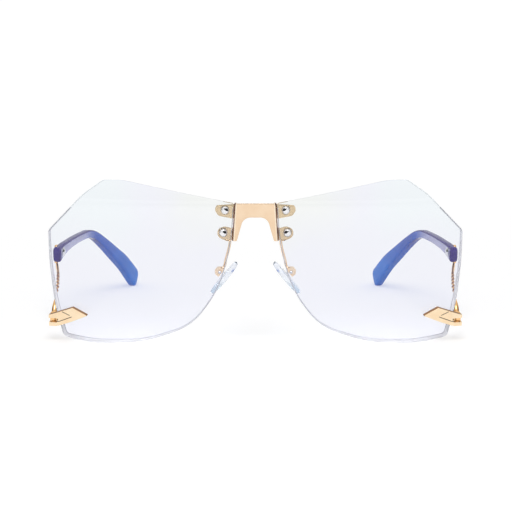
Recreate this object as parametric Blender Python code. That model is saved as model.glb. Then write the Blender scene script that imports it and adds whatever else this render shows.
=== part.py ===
"""Rimless sunglasses: two large clear lenses on a folded metal bridge, with low-set hinged temples.

Units are metres and +Z is up. The glasses stand on the lower edges of both lenses and on the tips of
both temples. Their front faces -Y and the wearer's left is +X. The origin lies on the ground under
the middle of the whole pair. Every side piece is shaped on the wearer's left and mirrored for the right.
"""

import math

import bmesh
import bpy
from mathutils import Matrix, Vector

# Fits and mesh fineness
SEAT_GAP = 0.0001
BORE_GAP = 0.0001
HINGE_GAP = 0.0001
EDGE_GAP = 0.0002
OVERRUN = 0.001
DRILL_REACH = 0.010
WELD = 0.0000001
ARC_STEP = math.radians(22.5)
ARC_LEAST_STEPS = 2
CORNER_REACH_SHARE = 0.48
SMOOTH_ANGLE = math.radians(32)
EDGE_ANGLE = math.radians(50)
SCREW_SIDES = 12
BORE_SIDES = 12
SIDES = ((1, "left"), (-1, "right"))

# Lenses: one sphere is the front face of both, with its centre behind the bridge
LENS_WIDTH = 0.0678
LENS_HEIGHT = 0.061
LENS_SPACING = 0.0154
LENS_THICKNESS = 0.0022
LENS_CURVE = 0.150
LENS_AXIS_INSET = 0.0120
LENS_AXIS_OUT = LENS_SPACING / 2 + LENS_AXIS_INSET
LENS_AXIS_UP = LENS_HEIGHT * 0.749
LENS_CHAMFER = 0.0004
LENS_EDGE_STEP = 0.0062
LENS_RINGS = 4
# Corners from the nose at the top, outwards and round: across and up, then the corner's radius,
# as shares of the lens width, its height and its height
LENS_CORNER_SHARES = (
    (0.000, 0.867, 0.012),
    (0.602, 1.003, 0.500),
    (0.697, 1.000, 0.035),
    (0.808, 0.913, 0.450),
    (1.001, 0.688, 0.045),
    (0.997, 0.492, 1.300),
    (0.975, 0.238, 1.300),
    (0.932, 0.028, 0.045),
    (0.771, -0.004, 1.000),
    (0.539, 0.012, 1.000),
    (0.431, 0.039, 0.600),
    (0.233, 0.118, 0.600),
    (0.079, 0.346, 1.000),
    (0.013, 0.631, 1.000),
)

# Bridge: one sheet, folded back beside each lens edge and out again behind the lens
SHEET = 0.0008
FOLD_RADIUS = 0.00065
BRIDGE_FRONT = 0.0010
BRIDGE_TOP = LENS_HEIGHT * 0.868
BRIDGE_HEIGHT = 0.01355
BRIDGE_LEG = 0.00055
LEG_ROUNDING = 0.0003
ARCH_TAPER = 0.0018
ARCH_RISE = 0.0085
ARCH_ROUNDING = 0.0030
SIDE_SLOPE = 0.062
TAB_LEAN = math.radians(3.2)
TAB_LENGTH = 0.00675
RELIEF = 0.0004
STAMPED_EDGE = 0.00012
FOLD_LINES = 3
UPPER_SCREW_INSET = 0.00319
UPPER_SCREW_DROP = 0.0026
UPPER_SCREW_OUT = LENS_SPACING / 2 + UPPER_SCREW_INSET
UPPER_SCREW_UP = BRIDGE_TOP - UPPER_SCREW_DROP
LOWER_SCREW_INSET = 0.00381
LOWER_SCREW_DROP = 0.01065
LOWER_SCREW_OUT = LENS_SPACING / 2 + LOWER_SCREW_INSET
LOWER_SCREW_UP = BRIDGE_TOP - LOWER_SCREW_DROP
BRIDGE_SCREWS = {"upper": (UPPER_SCREW_OUT, UPPER_SCREW_UP), "lower": (LOWER_SCREW_OUT, LOWER_SCREW_UP)}
# Tab outlines from the fold outwards: along the tab and up, as shares of its length and of the
# bridge's height below the top edge, then the corner's radius as a share of the length
UPPER_TAB_SHARES = (
    (0.00, 0.045, 0.00),
    (0.92, 0.071, 0.12),
    (1.00, 0.205, 0.35),
    (0.78, 0.352, 0.25),
    (0.00, 0.431, 0.00),
)
LOWER_TAB_SHARES = (
    (0.00, 0.686, 0.00),
    (0.42, 0.634, 0.30),
    (0.78, 0.700, 0.36),
    (0.77, 0.910, 0.36),
    (0.40, 0.998, 0.30),
    (0.00, 1.008, 0.00),
)

# Screws through lens and tab, each with a clear washer in front and a nut behind. A domed head is
# drawn from its crown outwards: how far out and how far up, as shares of its radius and rise
DOME_SHARES = ((0.0, 1.0), (0.5, 0.91), (0.87, 0.65), (1.0, 0.3))
BRIDGE_SCREW_HEAD = 0.0026
BRIDGE_SCREW_RISE = 0.00085
BRIDGE_SCREW_SHANK = 0.0014
WASHER_WIDTH = 0.0030
WASHER_THICKNESS = 0.00035
NUT_WIDTH = 0.0027
NUT_THICKNESS = 0.0011
SHANK_PROUD = 0.0003

# Nose pads: a bent wire carries a box, and the pad's insert rocks in it on a screw
PAD_LENGTH = 0.0146
PAD_WIDTH = 0.0076
PAD_THICKNESS = 0.0023
PAD_INSET = 0.00355
PAD_OUT = LENS_SPACING / 2 + PAD_INSET
PAD_BACK = 0.0106
PAD_DROP = 0.02849
PAD_UP = BRIDGE_TOP - PAD_DROP
PAD_LEAN = math.radians(40)
PAD_SIDES = 20
PAD_TAPER_SHARE = 0.12
# The pad's rings from its back to its crown: spread, and height from its middle, as shares
PAD_RING_SHARES = (
    (0.80, -0.50),
    (0.95, -0.38),
    (1.00, -0.10),
    (0.93, 0.22),
    (0.75, 0.40),
    (0.45, 0.49),
)
BOX_OFFSET = 0.0029
BOX_SHIFT = 0.0007
BOX_LENGTH = 0.0032
BOX_HEIGHT = 0.0025
BOX_DEPTH = 0.0028
BOX_MOUTH = 0.0009
# Outline of the box about its screw: up along the pad, and towards the nose, as shares of its
# length and height, then the corner's radius as a share of its height
BOX_CORNER_SHARES = (
    (-0.50, 0.30, 0.08),
    (0.50, 0.30, 0.08),
    (0.50, -0.34, 0.06),
    (0.22, -0.70, 0.06),
    (-0.22, -0.70, 0.06),
    (-0.50, -0.34, 0.06),
)
LUG_THICKNESS = 0.0011
LUG_WIDTH = 0.0016
INSERT_LENGTH = 0.0060
INSERT_WIDTH = 0.0036
INSERT_THICKNESS = 0.0006
PAD_SCREW_HEAD = 0.0016
PAD_SCREW_RISE = 0.0004
PAD_SCREW_SHANK = 0.0009
WIRE = 0.0011
WIRE_STEPS = 4
WIRE_ROUNDNESS = 2
# The wire from the lower tab down to the box: out, back and up, as shares of the way between them
WIRE_SHARES = (
    (0.00, 0.00, 0.00),
    (0.00, 0.01, 0.26),
    (0.28, 0.27, 0.51),
    (0.76, 0.72, 0.80),
    (1.00, 1.00, 1.00),
)
WIRE_TOP_INSET = 0.0015
WIRE_TOP_OUT = LENS_SPACING / 2 + WIRE_TOP_INSET
WIRE_TOP_DROP = 0.01115
WIRE_TOP_UP = BRIDGE_TOP - WIRE_TOP_DROP

# Hinge plate: lies on the lens at its lower outer corner and ends in a fork for the temple
PLATE_OUT = LENS_SPACING / 2 + LENS_WIDTH * 0.891
PLATE_UP = LENS_HEIGHT * 0.1623
PLATE_LENGTH = 0.0152
PLATE_HEIGHT = 0.0083
PLATE_THICKNESS = 0.0014
PLATE_EDGE = 0.00015
# From the inner tip over the top: outwards and up from the plate's own point, as shares of its
# length and height, then the corner's radius as a share of its height
PLATE_CORNER_SHARES = (
    (-0.493, 0.154, 0.020),
    (-0.134, 0.495, 0.030),
    (0.278, 0.228, 0.100),
    (0.507, 0.092, 0.050),
    (0.478, -0.468, 0.090),
    (0.280, -0.428, 0.400),
    (0.003, -0.252, 0.400),
    (-0.253, -0.064, 0.400),
    (-0.480, 0.110, 0.020),
)
GROOVE_WIDTH = 0.0003
GROOVE_DEPTH = 0.0003
UPPER_GROOVE_SHARES = ((0.150, 0.262), (-0.042, 0.105))
LOWER_GROOVE_SHARES = ((0.420, -0.262), (0.243, -0.201), (-0.088, 0.037))
PIN_HOLE = 0.0007
PIN_HOLE_SHARE = (0.302, -0.127)
AXIS_REACH = 0.0065
AXIS_OUT = PLATE_OUT + AXIS_REACH
AXIS_BEHIND_PLATE = 0.0054
BARREL = 0.0030
FORK_DROP = 0.0040
FORK_BOTTOM = PLATE_UP - FORK_DROP
FORK_HEIGHT = 0.0043
SLOT_RISE = 0.00145
SLOT_BOTTOM = FORK_BOTTOM + SLOT_RISE
SLOT_HEIGHT = 0.0016
SLOT_INSET = 0.00165
SLOT_OUT = AXIS_OUT - SLOT_INSET
HINGE_SCREW_HEAD = 0.0023
HINGE_SCREW_RISE = 0.0006
HINGE_SCREW_SHANK = 0.0013

# Back plate and its two screws, which run from behind into posts of the hinge plate
BACK_PLATE_THICKNESS = 0.0007
BACK_PLATE_SHARE = 0.74
BACK_PLATE_CORNER_SHARES = (
    (-0.235, 0.020, 0.060),
    (-0.130, 0.300, 0.060),
    (0.180, 0.150, 0.100),
    (0.215, -0.030, 0.060),
    (0.150, -0.240, 0.100),
)
POST = 0.0019
POST_DEPTH_SHARE = 0.45
PLATE_SCREW_HEAD = 0.0024
PLATE_SCREW_RISE = 0.0005
PLATE_SCREW_SHANK = 0.0009
# Screw places on the plate, as shares of its length and height
PLATE_SCREW_SHARES = {"inner": (-0.120, 0.080), "outer": (0.110, -0.040)}

# Temple arm: rises from the hinge in an S, passes under the temple's front end and ends in a plate
# that is let into the temple's outer face
ARM_INSIDE_FACE = 0.00095
ARM_UNDER_SCREW = 0.00265
ARM_THICKNESS = 0.0024
ARM_BREADTH = 0.0031
ARM_SIDES = 10
ARM_STEPS = 2
KNUCKLE = 0.0028
RIDGE_COUNT = 6
RIDGE_STEPS = 8
RIDGE_SHARE = 0.26
RIDGE_FADE_POWER = 0.5
RIDGE_SLANT_SHARE = 0.25
# From the hinge to the plate: back, up and out, as shares of the way between them, thickness and
# breadth as shares of the two sizes above, then how square the section is, from 0 for round to 1
ARM_STATION_SHARES = (
    (0.031, 0.000, 0.00, 0.96, 0.42, 0.6),
    (0.062, 0.004, 0.00, 0.98, 0.44, 0.5),
    (0.102, 0.060, 0.00, 1.00, 0.66, 0.3),
    (0.138, 0.178, 0.00, 0.90, 0.86, 0.1),
    (0.203, 0.323, -0.10, 0.58, 0.76, 0.1),
    (0.302, 0.453, -0.40, 0.34, 0.52, 0.2),
    (0.446, 0.564, -0.45, 0.33, 0.48, 0.4),
    (0.600, 0.660, -0.25, 0.34, 0.48, 0.5),
    (0.754, 0.744, 0.05, 0.40, 0.56, 0.5),
    (0.877, 0.786, 0.45, 0.46, 0.72, 0.5),
    (0.948, 0.831, 0.80, 0.44, 0.76, 0.6),
    (0.985, 0.900, 1.00, 0.36, 0.72, 0.6),
    (1.000, 1.000, 1.00, 0.30, 0.70, 0.6),
)
RIDGED_STATIONS = (5, 8)
ARM_PLATE_THICKNESS = 0.0009
ARM_PLATE_LENGTH = 0.0092
ARM_PLATE_HEIGHT = 0.0071
# Outline of the plate about its screw: back and up, as shares of its length and height, then the
# corner's radius as a share of its height
ARM_PLATE_CORNER_SHARES = (
    (-0.16, -0.59, 0.06),
    (-0.16, 0.41, 0.12),
    (0.17, 0.37, 0.40),
    (0.84, 0.20, 0.10),
    (0.84, -0.03, 0.10),
    (0.24, -0.34, 0.30),
    (0.15, -0.59, 0.06),
)
SQUARE_POWER_SHARE = 0.7

# Temple: one blade of acetate, slender at the ear and broad at the tip
TEMPLE_FRONT = 0.0475
TEMPLE_REACH = 0.1029
TEMPLE_OFFSET = 0.00254
TEMPLE_OUT = AXIS_OUT + TEMPLE_OFFSET
TEMPLE_UP = 0.0303
TEMPLE_TOE_IN = 0.0216
TEMPLE_THICKNESS = 0.0038
TEMPLE_BREADTH = 0.0082
TEMPLE_SIDES = 12
TEMPLE_SQUARENESS = 0.75
TEMPLE_STEPS = 2
FRONT_ROUNDING = 0.0016
TIP_ROUNDING = 0.0041
# How far an end's rounding draws in the section's height, and then its thickness, as shares
END_DEPTH_SHARE = 0.9
END_FLATNESS_SHARE = 0.35
END_STEPS = 4
# From the front end to the tip: back, height above the ground, toe-in, thickness and breadth, as
# shares of the five sizes above
TEMPLE_STATION_SHARES = (
    (0.000, 0.925, 0.000, 0.79, 0.71),
    (0.077, 0.960, 0.048, 0.79, 0.56),
    (0.153, 0.978, 0.095, 0.82, 0.45),
    (0.278, 0.988, 0.172, 0.84, 0.40),
    (0.402, 0.988, 0.263, 0.87, 0.38),
    (0.478, 0.978, 0.330, 0.89, 0.40),
    (0.555, 0.920, 0.412, 0.92, 0.44),
    (0.660, 0.773, 0.533, 0.97, 0.54),
    (0.775, 0.583, 0.680, 1.00, 0.69),
    (0.890, 0.380, 0.840, 1.00, 0.84),
    (1.000, 0.133, 1.000, 0.95, 0.98),
)
TEMPLE_SCREW_HEAD = 0.0037
TEMPLE_SCREW_RISE = 0.0009
TEMPLE_SCREW_SHANK = 0.0015
TEMPLE_SCREW_REACH = 0.0030
TEMPLE_SCREW_BACK = TEMPLE_FRONT + TEMPLE_SCREW_REACH
TEMPLE_SCREW_UP = TEMPLE_UP * 0.944
RECESS_LENGTH = 0.0115
RECESS_END = TEMPLE_FRONT + RECESS_LENGTH

# Colours from 0 to 255, then metallic, roughness and transmission
FINISHES = {
    "champagne_gold": ((240, 214, 182), 1.0, 0.28, 0.0),
    "steel": ((205, 206, 210), 1.0, 0.18, 0.0),
    "clear_lens": ((238, 241, 250), 0.0, 0.02, 1.0),
    "clear_plastic": ((240, 243, 250), 0.0, 0.10, 1.0),
    "silicone": ((220, 228, 245), 0.0, 0.22, 0.9),
    "violet_acetate": ((86, 90, 170), 0.0, 0.12, 0.5),
}


def clear_scene():
    """Remove whatever the scene holds."""
    for held in list(bpy.data.objects):
        bpy.data.objects.remove(held)


def finish(name):
    """The material of this name, made once."""
    known = bpy.data.materials.get(name)
    if known:
        return known
    colour, metallic, roughness, transmission = FINISHES[name]
    made = bpy.data.materials.new(name)
    made.use_nodes = True
    shader = made.node_tree.nodes["Principled BSDF"]
    shader.inputs["Base Color"].default_value = [(part / 255) ** 2.2 for part in colour] + [1]
    shader.inputs["Metallic"].default_value = metallic
    shader.inputs["Roughness"].default_value = roughness
    shader.inputs["Transmission Weight"].default_value = transmission
    return made


def rounded_loop(corners):
    """A closed loop of flat points in which each corner (a, b, radius) is an arc."""
    loop = []
    for index, (a, b, radius) in enumerate(corners):
        corner = Vector((a, b))
        back = Vector(corners[index - 1][:2]) - corner
        ahead = Vector(corners[(index + 1) % len(corners)][:2]) - corner
        turn = math.pi - back.angle(ahead)
        room = min(back.length, ahead.length) * CORNER_REACH_SHARE
        reach = min(radius * math.tan(turn / 2), room)
        if reach <= WELD:
            loop.append(corner)
            continue
        arc_radius = reach / math.tan(turn / 2)
        inward = (back.normalized() + ahead.normalized()).normalized()
        centre = corner + inward * (arc_radius / math.cos(turn / 2))
        start = corner + back.normalized() * reach - centre
        hand = 1 if ahead.cross(back) > 0 else -1
        steps = max(ARC_LEAST_STEPS, math.ceil(turn / ARC_STEP))
        for step in range(steps + 1):
            loop.append(centre + Matrix.Rotation(hand * turn * step / steps, 2) @ start)
    return loop


def finer(loop, longest):
    """The same loop with points added so that no side is longer than the length given."""
    points = []
    for index, point in enumerate(loop):
        ahead = loop[(index + 1) % len(loop)]
        parts = math.ceil((ahead - point).length / longest)
        points += [point.lerp(ahead, part / parts) for part in range(parts)]
    return points


def circle(radius, sides):
    """A loop of points round a circle."""
    return [Vector((radius * math.cos(turn), radius * math.sin(turn)))
            for turn in (2 * math.pi * side / sides for side in range(sides))]


def rectangle(left, low, right, high):
    """A loop of four corners."""
    return (left, low), (right, low), (right, high), (left, high)


def through_spline(rows, steps):
    """Rows of values read off a smooth curve through the given rows, with this many steps between."""
    rows = [Vector(row) for row in rows]
    rows = [rows[0] * 2 - rows[1], *rows, rows[-1] * 2 - rows[-2]]
    curve = []
    for before, start, end, after in zip(rows, rows[1:], rows[2:], rows[3:]):
        for step in range(steps):
            share = step / steps
            pull = (end - before) / 2
            push = (after - start) / 2
            curve.append(start + pull * share + ((end - start) * 3 - pull * 2 - push) * share ** 2
                         + ((start - end) * 2 + pull + push) * share ** 3)
    return curve + [rows[-2]]


def prism(loop, low, high, frame=None):
    """A solid between two copies of a flat loop, at two heights of the frame."""
    bm = bmesh.new()
    face = bm.faces.new([bm.verts.new((point[0], point[1], low)) for point in loop])
    raised = bmesh.ops.extrude_face_region(bm, geom=[face])["geom"]
    tops = [item for item in raised if isinstance(item, bmesh.types.BMVert)]
    bmesh.ops.translate(bm, verts=tops, vec=(0, 0, high - low))
    return placed(bm, frame)


def turned(profile, sides, frame=None):
    """A solid turned about the frame's third axis from a profile of (radius, height)."""
    bm = bmesh.new()
    verts = [bm.verts.new((radius, 0, height)) for radius, height in profile]
    edges = [bm.edges.new(pair) for pair in zip(verts, verts[1:])]
    bmesh.ops.spin(bm, geom=verts + edges, cent=(0, 0, 0), axis=(0, 0, 1), angle=2 * math.pi, steps=sides)
    bmesh.ops.remove_doubles(bm, verts=bm.verts, dist=WELD)
    return placed(bm, frame)


def skinned(rings):
    """A solid drawn over a row of rings of equal length and closed at both ends."""
    bm = bmesh.new()
    rows = [[bm.verts.new(point) for point in ring] for ring in rings]
    for row, ahead in zip(rows, rows[1:]):
        for index in range(len(row)):
            bm.faces.new((row[index - 1], row[index], ahead[index], ahead[index - 1]))
    bm.faces.new(rows[0])
    bm.faces.new(rows[-1])
    return placed(bm, None)


def placed(bm, frame):
    """The mesh with its faces pointing out, moved into the frame given."""
    bmesh.ops.recalc_face_normals(bm, faces=bm.faces)
    if frame:
        bm.transform(frame)
    return bm


def add(name, bm, material, parent, side=1):
    """Make an object of the mesh, mirrored for the right side, with its origin on its parent's."""
    if side < 0:
        bm.transform(Matrix.Scale(-1, 4, (1, 0, 0)))
        bmesh.ops.reverse_faces(bm, faces=bm.faces)
    bm.transform(Matrix.Translation(-parent.location))
    mesh = bpy.data.meshes.new(name)
    bm.to_mesh(mesh)
    bm.free()
    mesh.shade_smooth()
    mesh.set_sharp_from_angle(angle=SMOOTH_ANGLE)
    if material:
        mesh.materials.append(finish(material))
    made = bpy.data.objects.new(name, mesh)
    made.parent = parent
    bpy.context.scene.collection.objects.link(made)
    return made


def change(target, operation, name, bm, side=1):
    """Cut the target by the mesh, or join the mesh to it, and keep the mesh as a hidden helper."""
    helper = add(name, bm, None, target.parent, side)
    helper.hide_render = True
    helper.display_type = "WIRE"
    modifier = target.modifiers.new(name, "BOOLEAN")
    modifier.operation = operation
    modifier.solver = "EXACT"
    modifier.object = helper


def pivot(name, parent, place):
    """An empty that pieces hang from, at a joint's axis or at the middle of the glasses."""
    empty = bpy.data.objects.new(name, None)
    empty.location = place
    empty.parent = parent
    bpy.context.scene.collection.objects.link(empty)
    return empty


def screw_profile(head, rise, shank, length):
    """A domed head above height zero and a shank below it."""
    dome = [(head / 2 * out, rise * up) for out, up in DOME_SHARES]
    return [*dome, (head / 2, 0), (shank / 2, 0), (shank / 2, -length), (0, -length)]


def ring_profile(outer, inner, thickness):
    """A flat ring from height zero upwards, closed through its bore."""
    return [(inner / 2, 0), (inner / 2, thickness), (outer / 2, thickness), (outer / 2, 0), (inner / 2, 0)]


def lens_sag(out, up):
    """How far behind the lens's foremost plane its front face lies at a place on it."""
    return LENS_CURVE - math.sqrt(LENS_CURVE ** 2 - (out - LENS_AXIS_OUT) ** 2 - (up - LENS_AXIS_UP) ** 2)


def lens_frame(out, up):
    """Axes at a place on the lens's front face: outwards, up along it, and forwards off it."""
    place = Vector((out, lens_sag(out, up), up))
    forward = (place - Vector((LENS_AXIS_OUT, LENS_CURVE, LENS_AXIS_UP))).normalized()
    outward = Vector((0, 0, 1)).cross(forward).normalized()
    return axes(place, outward, forward.cross(outward), forward)


def axes(place, first, second, third):
    """The matrix of a frame from its origin and its three axes."""
    return Matrix.Translation(place) @ Matrix((first, second, third)).transposed().to_4x4()


def shaped(shares, across, up, radius_size):
    """Corners for a rounded loop from shares of a width and a height."""
    return [(a * across, b * up, corner * radius_size) for a, b, corner in shares]


def make_lens(side, word, body):
    """One lens: rings of its outline on the sphere, thickened backwards, with its rims chamfered."""
    corners = shaped(LENS_CORNER_SHARES, LENS_WIDTH, LENS_HEIGHT, LENS_HEIGHT)
    loop = finer(rounded_loop(corners), LENS_EDGE_STEP)
    middle = sum(loop, Vector((0, 0))) / len(loop)
    bm = bmesh.new()

    def on_sphere(flat):
        out = flat.x + LENS_SPACING / 2
        return bm.verts.new((out, lens_sag(out, flat.y), flat.y))

    hub = on_sphere(middle)
    rows = [[on_sphere(middle.lerp(point, ring / LENS_RINGS)) for point in loop]
            for ring in range(1, LENS_RINGS + 1)]
    for index in range(len(loop)):
        bm.faces.new((hub, rows[0][index - 1], rows[0][index]))
        for row, ahead in zip(rows, rows[1:]):
            bm.faces.new((row[index - 1], ahead[index - 1], ahead[index], row[index]))
    bm.normal_update()
    if hub.normal.y > 0:
        bmesh.ops.reverse_faces(bm, faces=bm.faces)
    lens = add("lens_" + word, bm, "clear_lens", body, side)
    thick = lens.modifiers.new("thickness", "SOLIDIFY")
    thick.thickness = LENS_THICKNESS
    thick.offset = -1
    rim = lens.modifiers.new("rim", "BEVEL")
    rim.width = LENS_CHAMFER
    rim.segments = 1
    rim.limit_method = "ANGLE"
    rim.angle_limit = EDGE_ANGLE
    for key, (out, up) in BRIDGE_SCREWS.items():
        drill(lens, f"lens_hole_{word}_{key}", BRIDGE_SCREW_SHANK, lens_frame(out, up), side)
    for key, place in plate_screw_places().items():
        drill(lens, f"post_hole_{word}_{key}", POST, place, side)


def drill(target, name, width, frame, side, low=-DRILL_REACH, high=DRILL_REACH):
    """Cut a round hole along the frame's third axis, a little wider than what passes through it."""
    round_cut = prism(circle(width / 2 + BORE_GAP, BORE_SIDES), low, high, frame)
    change(target, "DIFFERENCE", name, round_cut, side)


def fold_segments():
    """The bridge's sheet from its middle outwards: the length of each stretch and the turn it makes."""
    start = LENS_SPACING / 2 - EDGE_GAP - SHEET / 2 - FOLD_RADIUS
    lens_back = lens_sag(LENS_SPACING / 2, BRIDGE_TOP) + LENS_THICKNESS
    depth = lens_back + SEAT_GAP + BRIDGE_FRONT
    flange = depth - FOLD_RADIUS - FOLD_RADIUS * math.cos(TAB_LEAN)
    quarter = math.pi / 2
    return (
        (start, 0),
        (FOLD_RADIUS * quarter, quarter),
        (flange, 0),
        (FOLD_RADIUS * (quarter + TAB_LEAN), -quarter - TAB_LEAN),
        (TAB_LENGTH, 0),
    )


def folded(along):
    """Where a point this far along the folded sheet lies: outwards, and back from the front stretch."""
    out = back = heading = 0
    for length, turn in fold_segments():
        step = min(along, length)
        if turn:
            radius = length / turn
            ahead = heading + step / radius
            out += radius * (math.sin(ahead) - math.sin(heading))
            back -= radius * (math.cos(ahead) - math.cos(heading))
            heading = ahead
        else:
            out += step * math.cos(heading)
            back += step * math.sin(heading)
        along -= step
        if along <= 0:
            break
    return out, back


def fold_ends():
    """How far along the sheet each stretch ends."""
    ends = [0]
    for length, _ in fold_segments():
        ends.append(ends[-1] + length)
    return ends[1:]


def bridge_slope(up):
    """How much further out the folds lie at this height than at the bridge's top."""
    return (BRIDGE_TOP - up) * SIDE_SLOPE


def tab_back(out, up):
    """How far back the rear face of a tab lies at a place behind the lens."""
    root_out, root_back = folded(fold_ends()[3])
    reach = out - root_out - bridge_slope(up)
    return root_back - reach * math.tan(TAB_LEAN) + SHEET - BRIDGE_FRONT


def bridge_blank():
    """Outline of the flat sheet before it is folded: along it from the middle, and up."""
    bottom = BRIDGE_TOP - BRIDGE_HEIGHT
    fold_start, _, flange, tab, _ = fold_ends()

    def tab_corners(shares):
        return [(tab + a * TAB_LENGTH, BRIDGE_TOP - b * BRIDGE_HEIGHT, corner * TAB_LENGTH)
                for a, b, corner in shares]

    upper = tab_corners(UPPER_TAB_SHARES)
    lower = tab_corners(LOWER_TAB_SHARES)
    under_upper = upper[-1][1]
    over_lower = lower[0][1]
    neck = flange - RELIEF
    half = [
        (flange, BRIDGE_TOP, 0),
        (flange, upper[0][1], 0),
        *upper,
        (neck, under_upper, 0),
        (neck, under_upper - RELIEF, 0),
        (flange, under_upper - RELIEF, 0),
        (flange, over_lower + RELIEF, 0),
        (neck, over_lower + RELIEF, 0),
        (neck, over_lower, 0),
        *lower,
        (flange, bottom, 0),
        (fold_start - BRIDGE_LEG, bottom, LEG_ROUNDING),
        (fold_start - BRIDGE_LEG - ARCH_TAPER, bottom + ARCH_RISE, ARCH_ROUNDING),
    ]
    return half + [(-along, up, radius) for along, up, radius in reversed(half)]


def make_bridge(body):
    """The bridge: its blank cut along the fold lines, folded, thickened and drilled."""
    bm = bmesh.new()
    bm.faces.new([bm.verts.new((point.x, 0, point.y)) for point in rounded_loop(bridge_blank())])
    first, bend, flange, second, _ = fold_ends()
    lines = [first, bend, flange, second]
    for start, end in ((first, bend), (flange, second)):
        lines += [start + (end - start) * line / FOLD_LINES for line in range(1, FOLD_LINES)]
    for line in lines:
        for hand in (-1, 1):
            geometry = [*bm.verts, *bm.edges, *bm.faces]
            place = (hand * line, 0, 0)
            bmesh.ops.bisect_plane(bm, geom=geometry, dist=WELD, plane_co=place, plane_no=(1, 0, 0))
    for vert in bm.verts:
        along = abs(vert.co.x)
        out, back = folded(along)
        out += bridge_slope(vert.co.z) * min(along / first, 1)
        vert.co = (math.copysign(out, vert.co.x), back + SHEET / 2 - BRIDGE_FRONT, vert.co.z)
    bridge = add("bridge", bm, "champagne_gold", body)
    sheet = bridge.modifiers.new("sheet", "SOLIDIFY")
    sheet.thickness = SHEET
    sheet.offset = 0
    sheet.use_even_offset = True
    edge = bridge.modifiers.new("stamped_edge", "BEVEL")
    edge.width = STAMPED_EDGE
    edge.segments = 1
    edge.limit_method = "ANGLE"
    edge.angle_limit = EDGE_ANGLE
    for side, word in SIDES:
        for key, (out, up) in BRIDGE_SCREWS.items():
            drill(bridge, f"bridge_hole_{word}_{key}", BRIDGE_SCREW_SHANK, lens_frame(out, up), side)


def make_bridge_fasteners(side, word, body):
    """For each tab: a washer and a domed screw in front of the lens, and a nut behind the tab."""
    for key, (out, up) in BRIDGE_SCREWS.items():
        seat = lens_frame(out, up)
        on_lens = seat @ Matrix.Translation((0, 0, SEAT_GAP))
        under_head = on_lens @ Matrix.Translation((0, 0, WASHER_THICKNESS + SEAT_GAP))
        behind_tab = tab_back(out, up) - seat.translation.y + SEAT_GAP
        length = SEAT_GAP * 2 + WASHER_THICKNESS + behind_tab + NUT_THICKNESS + SHANK_PROUD
        washer = ring_profile(WASHER_WIDTH, BRIDGE_SCREW_SHANK + BORE_GAP * 2, WASHER_THICKNESS)
        add(f"bridge_washer_{word}_{key}", turned(washer, BORE_SIDES, on_lens), "clear_plastic", body, side)
        screw = screw_profile(BRIDGE_SCREW_HEAD, BRIDGE_SCREW_RISE, BRIDGE_SCREW_SHANK, length)
        add(f"bridge_screw_{word}_{key}", turned(screw, SCREW_SIDES, under_head), "steel", body, side)
        corner = NUT_WIDTH / 2 / math.cos(math.pi / 6)
        solid = prism(circle(corner, 6), -behind_tab - NUT_THICKNESS, -behind_tab, seat)
        nut = add(f"bridge_nut_{word}_{key}", solid, "steel", body, side)
        drill(nut, f"nut_bore_{word}_{key}", BRIDGE_SCREW_SHANK, seat, side)


def pad_axes(place):
    """Axes of a nose pad at a place: up along the pad, across it to the back, and towards the nose."""
    up = Vector((-math.sin(PAD_LEAN), 0, math.cos(PAD_LEAN)))
    back = Vector((0, 1, 0))
    return axes(place, up, back, up.cross(back))


def pad_pin():
    """Axes at the middle of the pad's box: up along the pad, towards the nose, and forwards."""
    pad = pad_axes(Vector((PAD_OUT, PAD_BACK, PAD_UP)))
    up, back, nose = (pad.col[index].to_3d() for index in range(3))
    return axes(pad @ Vector((BOX_SHIFT, 0, -BOX_OFFSET)), up, nose, -back)


def make_pad_mount(side, word, body):
    """The wire, the box at its end and the screw across the box."""
    pin = pad_pin()
    box_loop = rounded_loop(shaped(BOX_CORNER_SHARES, BOX_LENGTH, BOX_HEIGHT, BOX_HEIGHT))
    solid = prism(box_loop, -BOX_DEPTH / 2, BOX_DEPTH / 2, pin)
    box = add("pad_box_" + word, solid, "champagne_gold", body, side)
    half_slot = LUG_THICKNESS / 2 + BORE_GAP
    slot_loop = rectangle(-BOX_LENGTH, -BOX_MOUTH, BOX_LENGTH, BOX_HEIGHT)
    change(box, "DIFFERENCE", "box_slot_" + word, prism(slot_loop, -half_slot, half_slot, pin), side)
    drill(box, "box_bore_" + word, PAD_SCREW_SHANK, pin, side)
    head_seat = pin @ Matrix.Translation((0, 0, BOX_DEPTH / 2 + SEAT_GAP))
    screw = screw_profile(PAD_SCREW_HEAD, PAD_SCREW_RISE, PAD_SCREW_SHANK, BOX_DEPTH + SEAT_GAP)
    add("pad_screw_" + word, turned(screw, SCREW_SIDES, head_seat), "steel", body, side)

    start = Vector((WIRE_TOP_OUT, tab_back(WIRE_TOP_OUT, WIRE_TOP_UP) + SEAT_GAP + WIRE / 2, WIRE_TOP_UP))
    end = pin @ Vector((BOX_LENGTH / 2 + SEAT_GAP, 0, 0))
    bend = pin @ Vector((BOX_LENGTH / 2 + SEAT_GAP + WIRE, 0, 0))
    way = bend - start
    route = [start + Vector((way.x * out, way.y * back, way.z * fall)) for out, back, fall in WIRE_SHARES]
    curve = bpy.data.curves.new("pad_arm_" + word, "CURVE")
    curve.dimensions = "3D"
    curve.bevel_depth = WIRE / 2
    curve.bevel_resolution = round(WIRE_ROUNDNESS)
    curve.use_fill_caps = True
    line = curve.splines.new("POLY")
    points = through_spline([*route, end], WIRE_STEPS)
    line.points.add(len(points) - 1)
    for held, point in zip(line.points, points):
        held.co = (point.x * side, point.y, point.z, 1)
    line.use_smooth = True
    curve.materials.append(finish("champagne_gold"))
    wire = bpy.data.objects.new("pad_arm_" + word, curve)
    wire.parent = body
    bpy.context.scene.collection.objects.link(wire)


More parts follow.
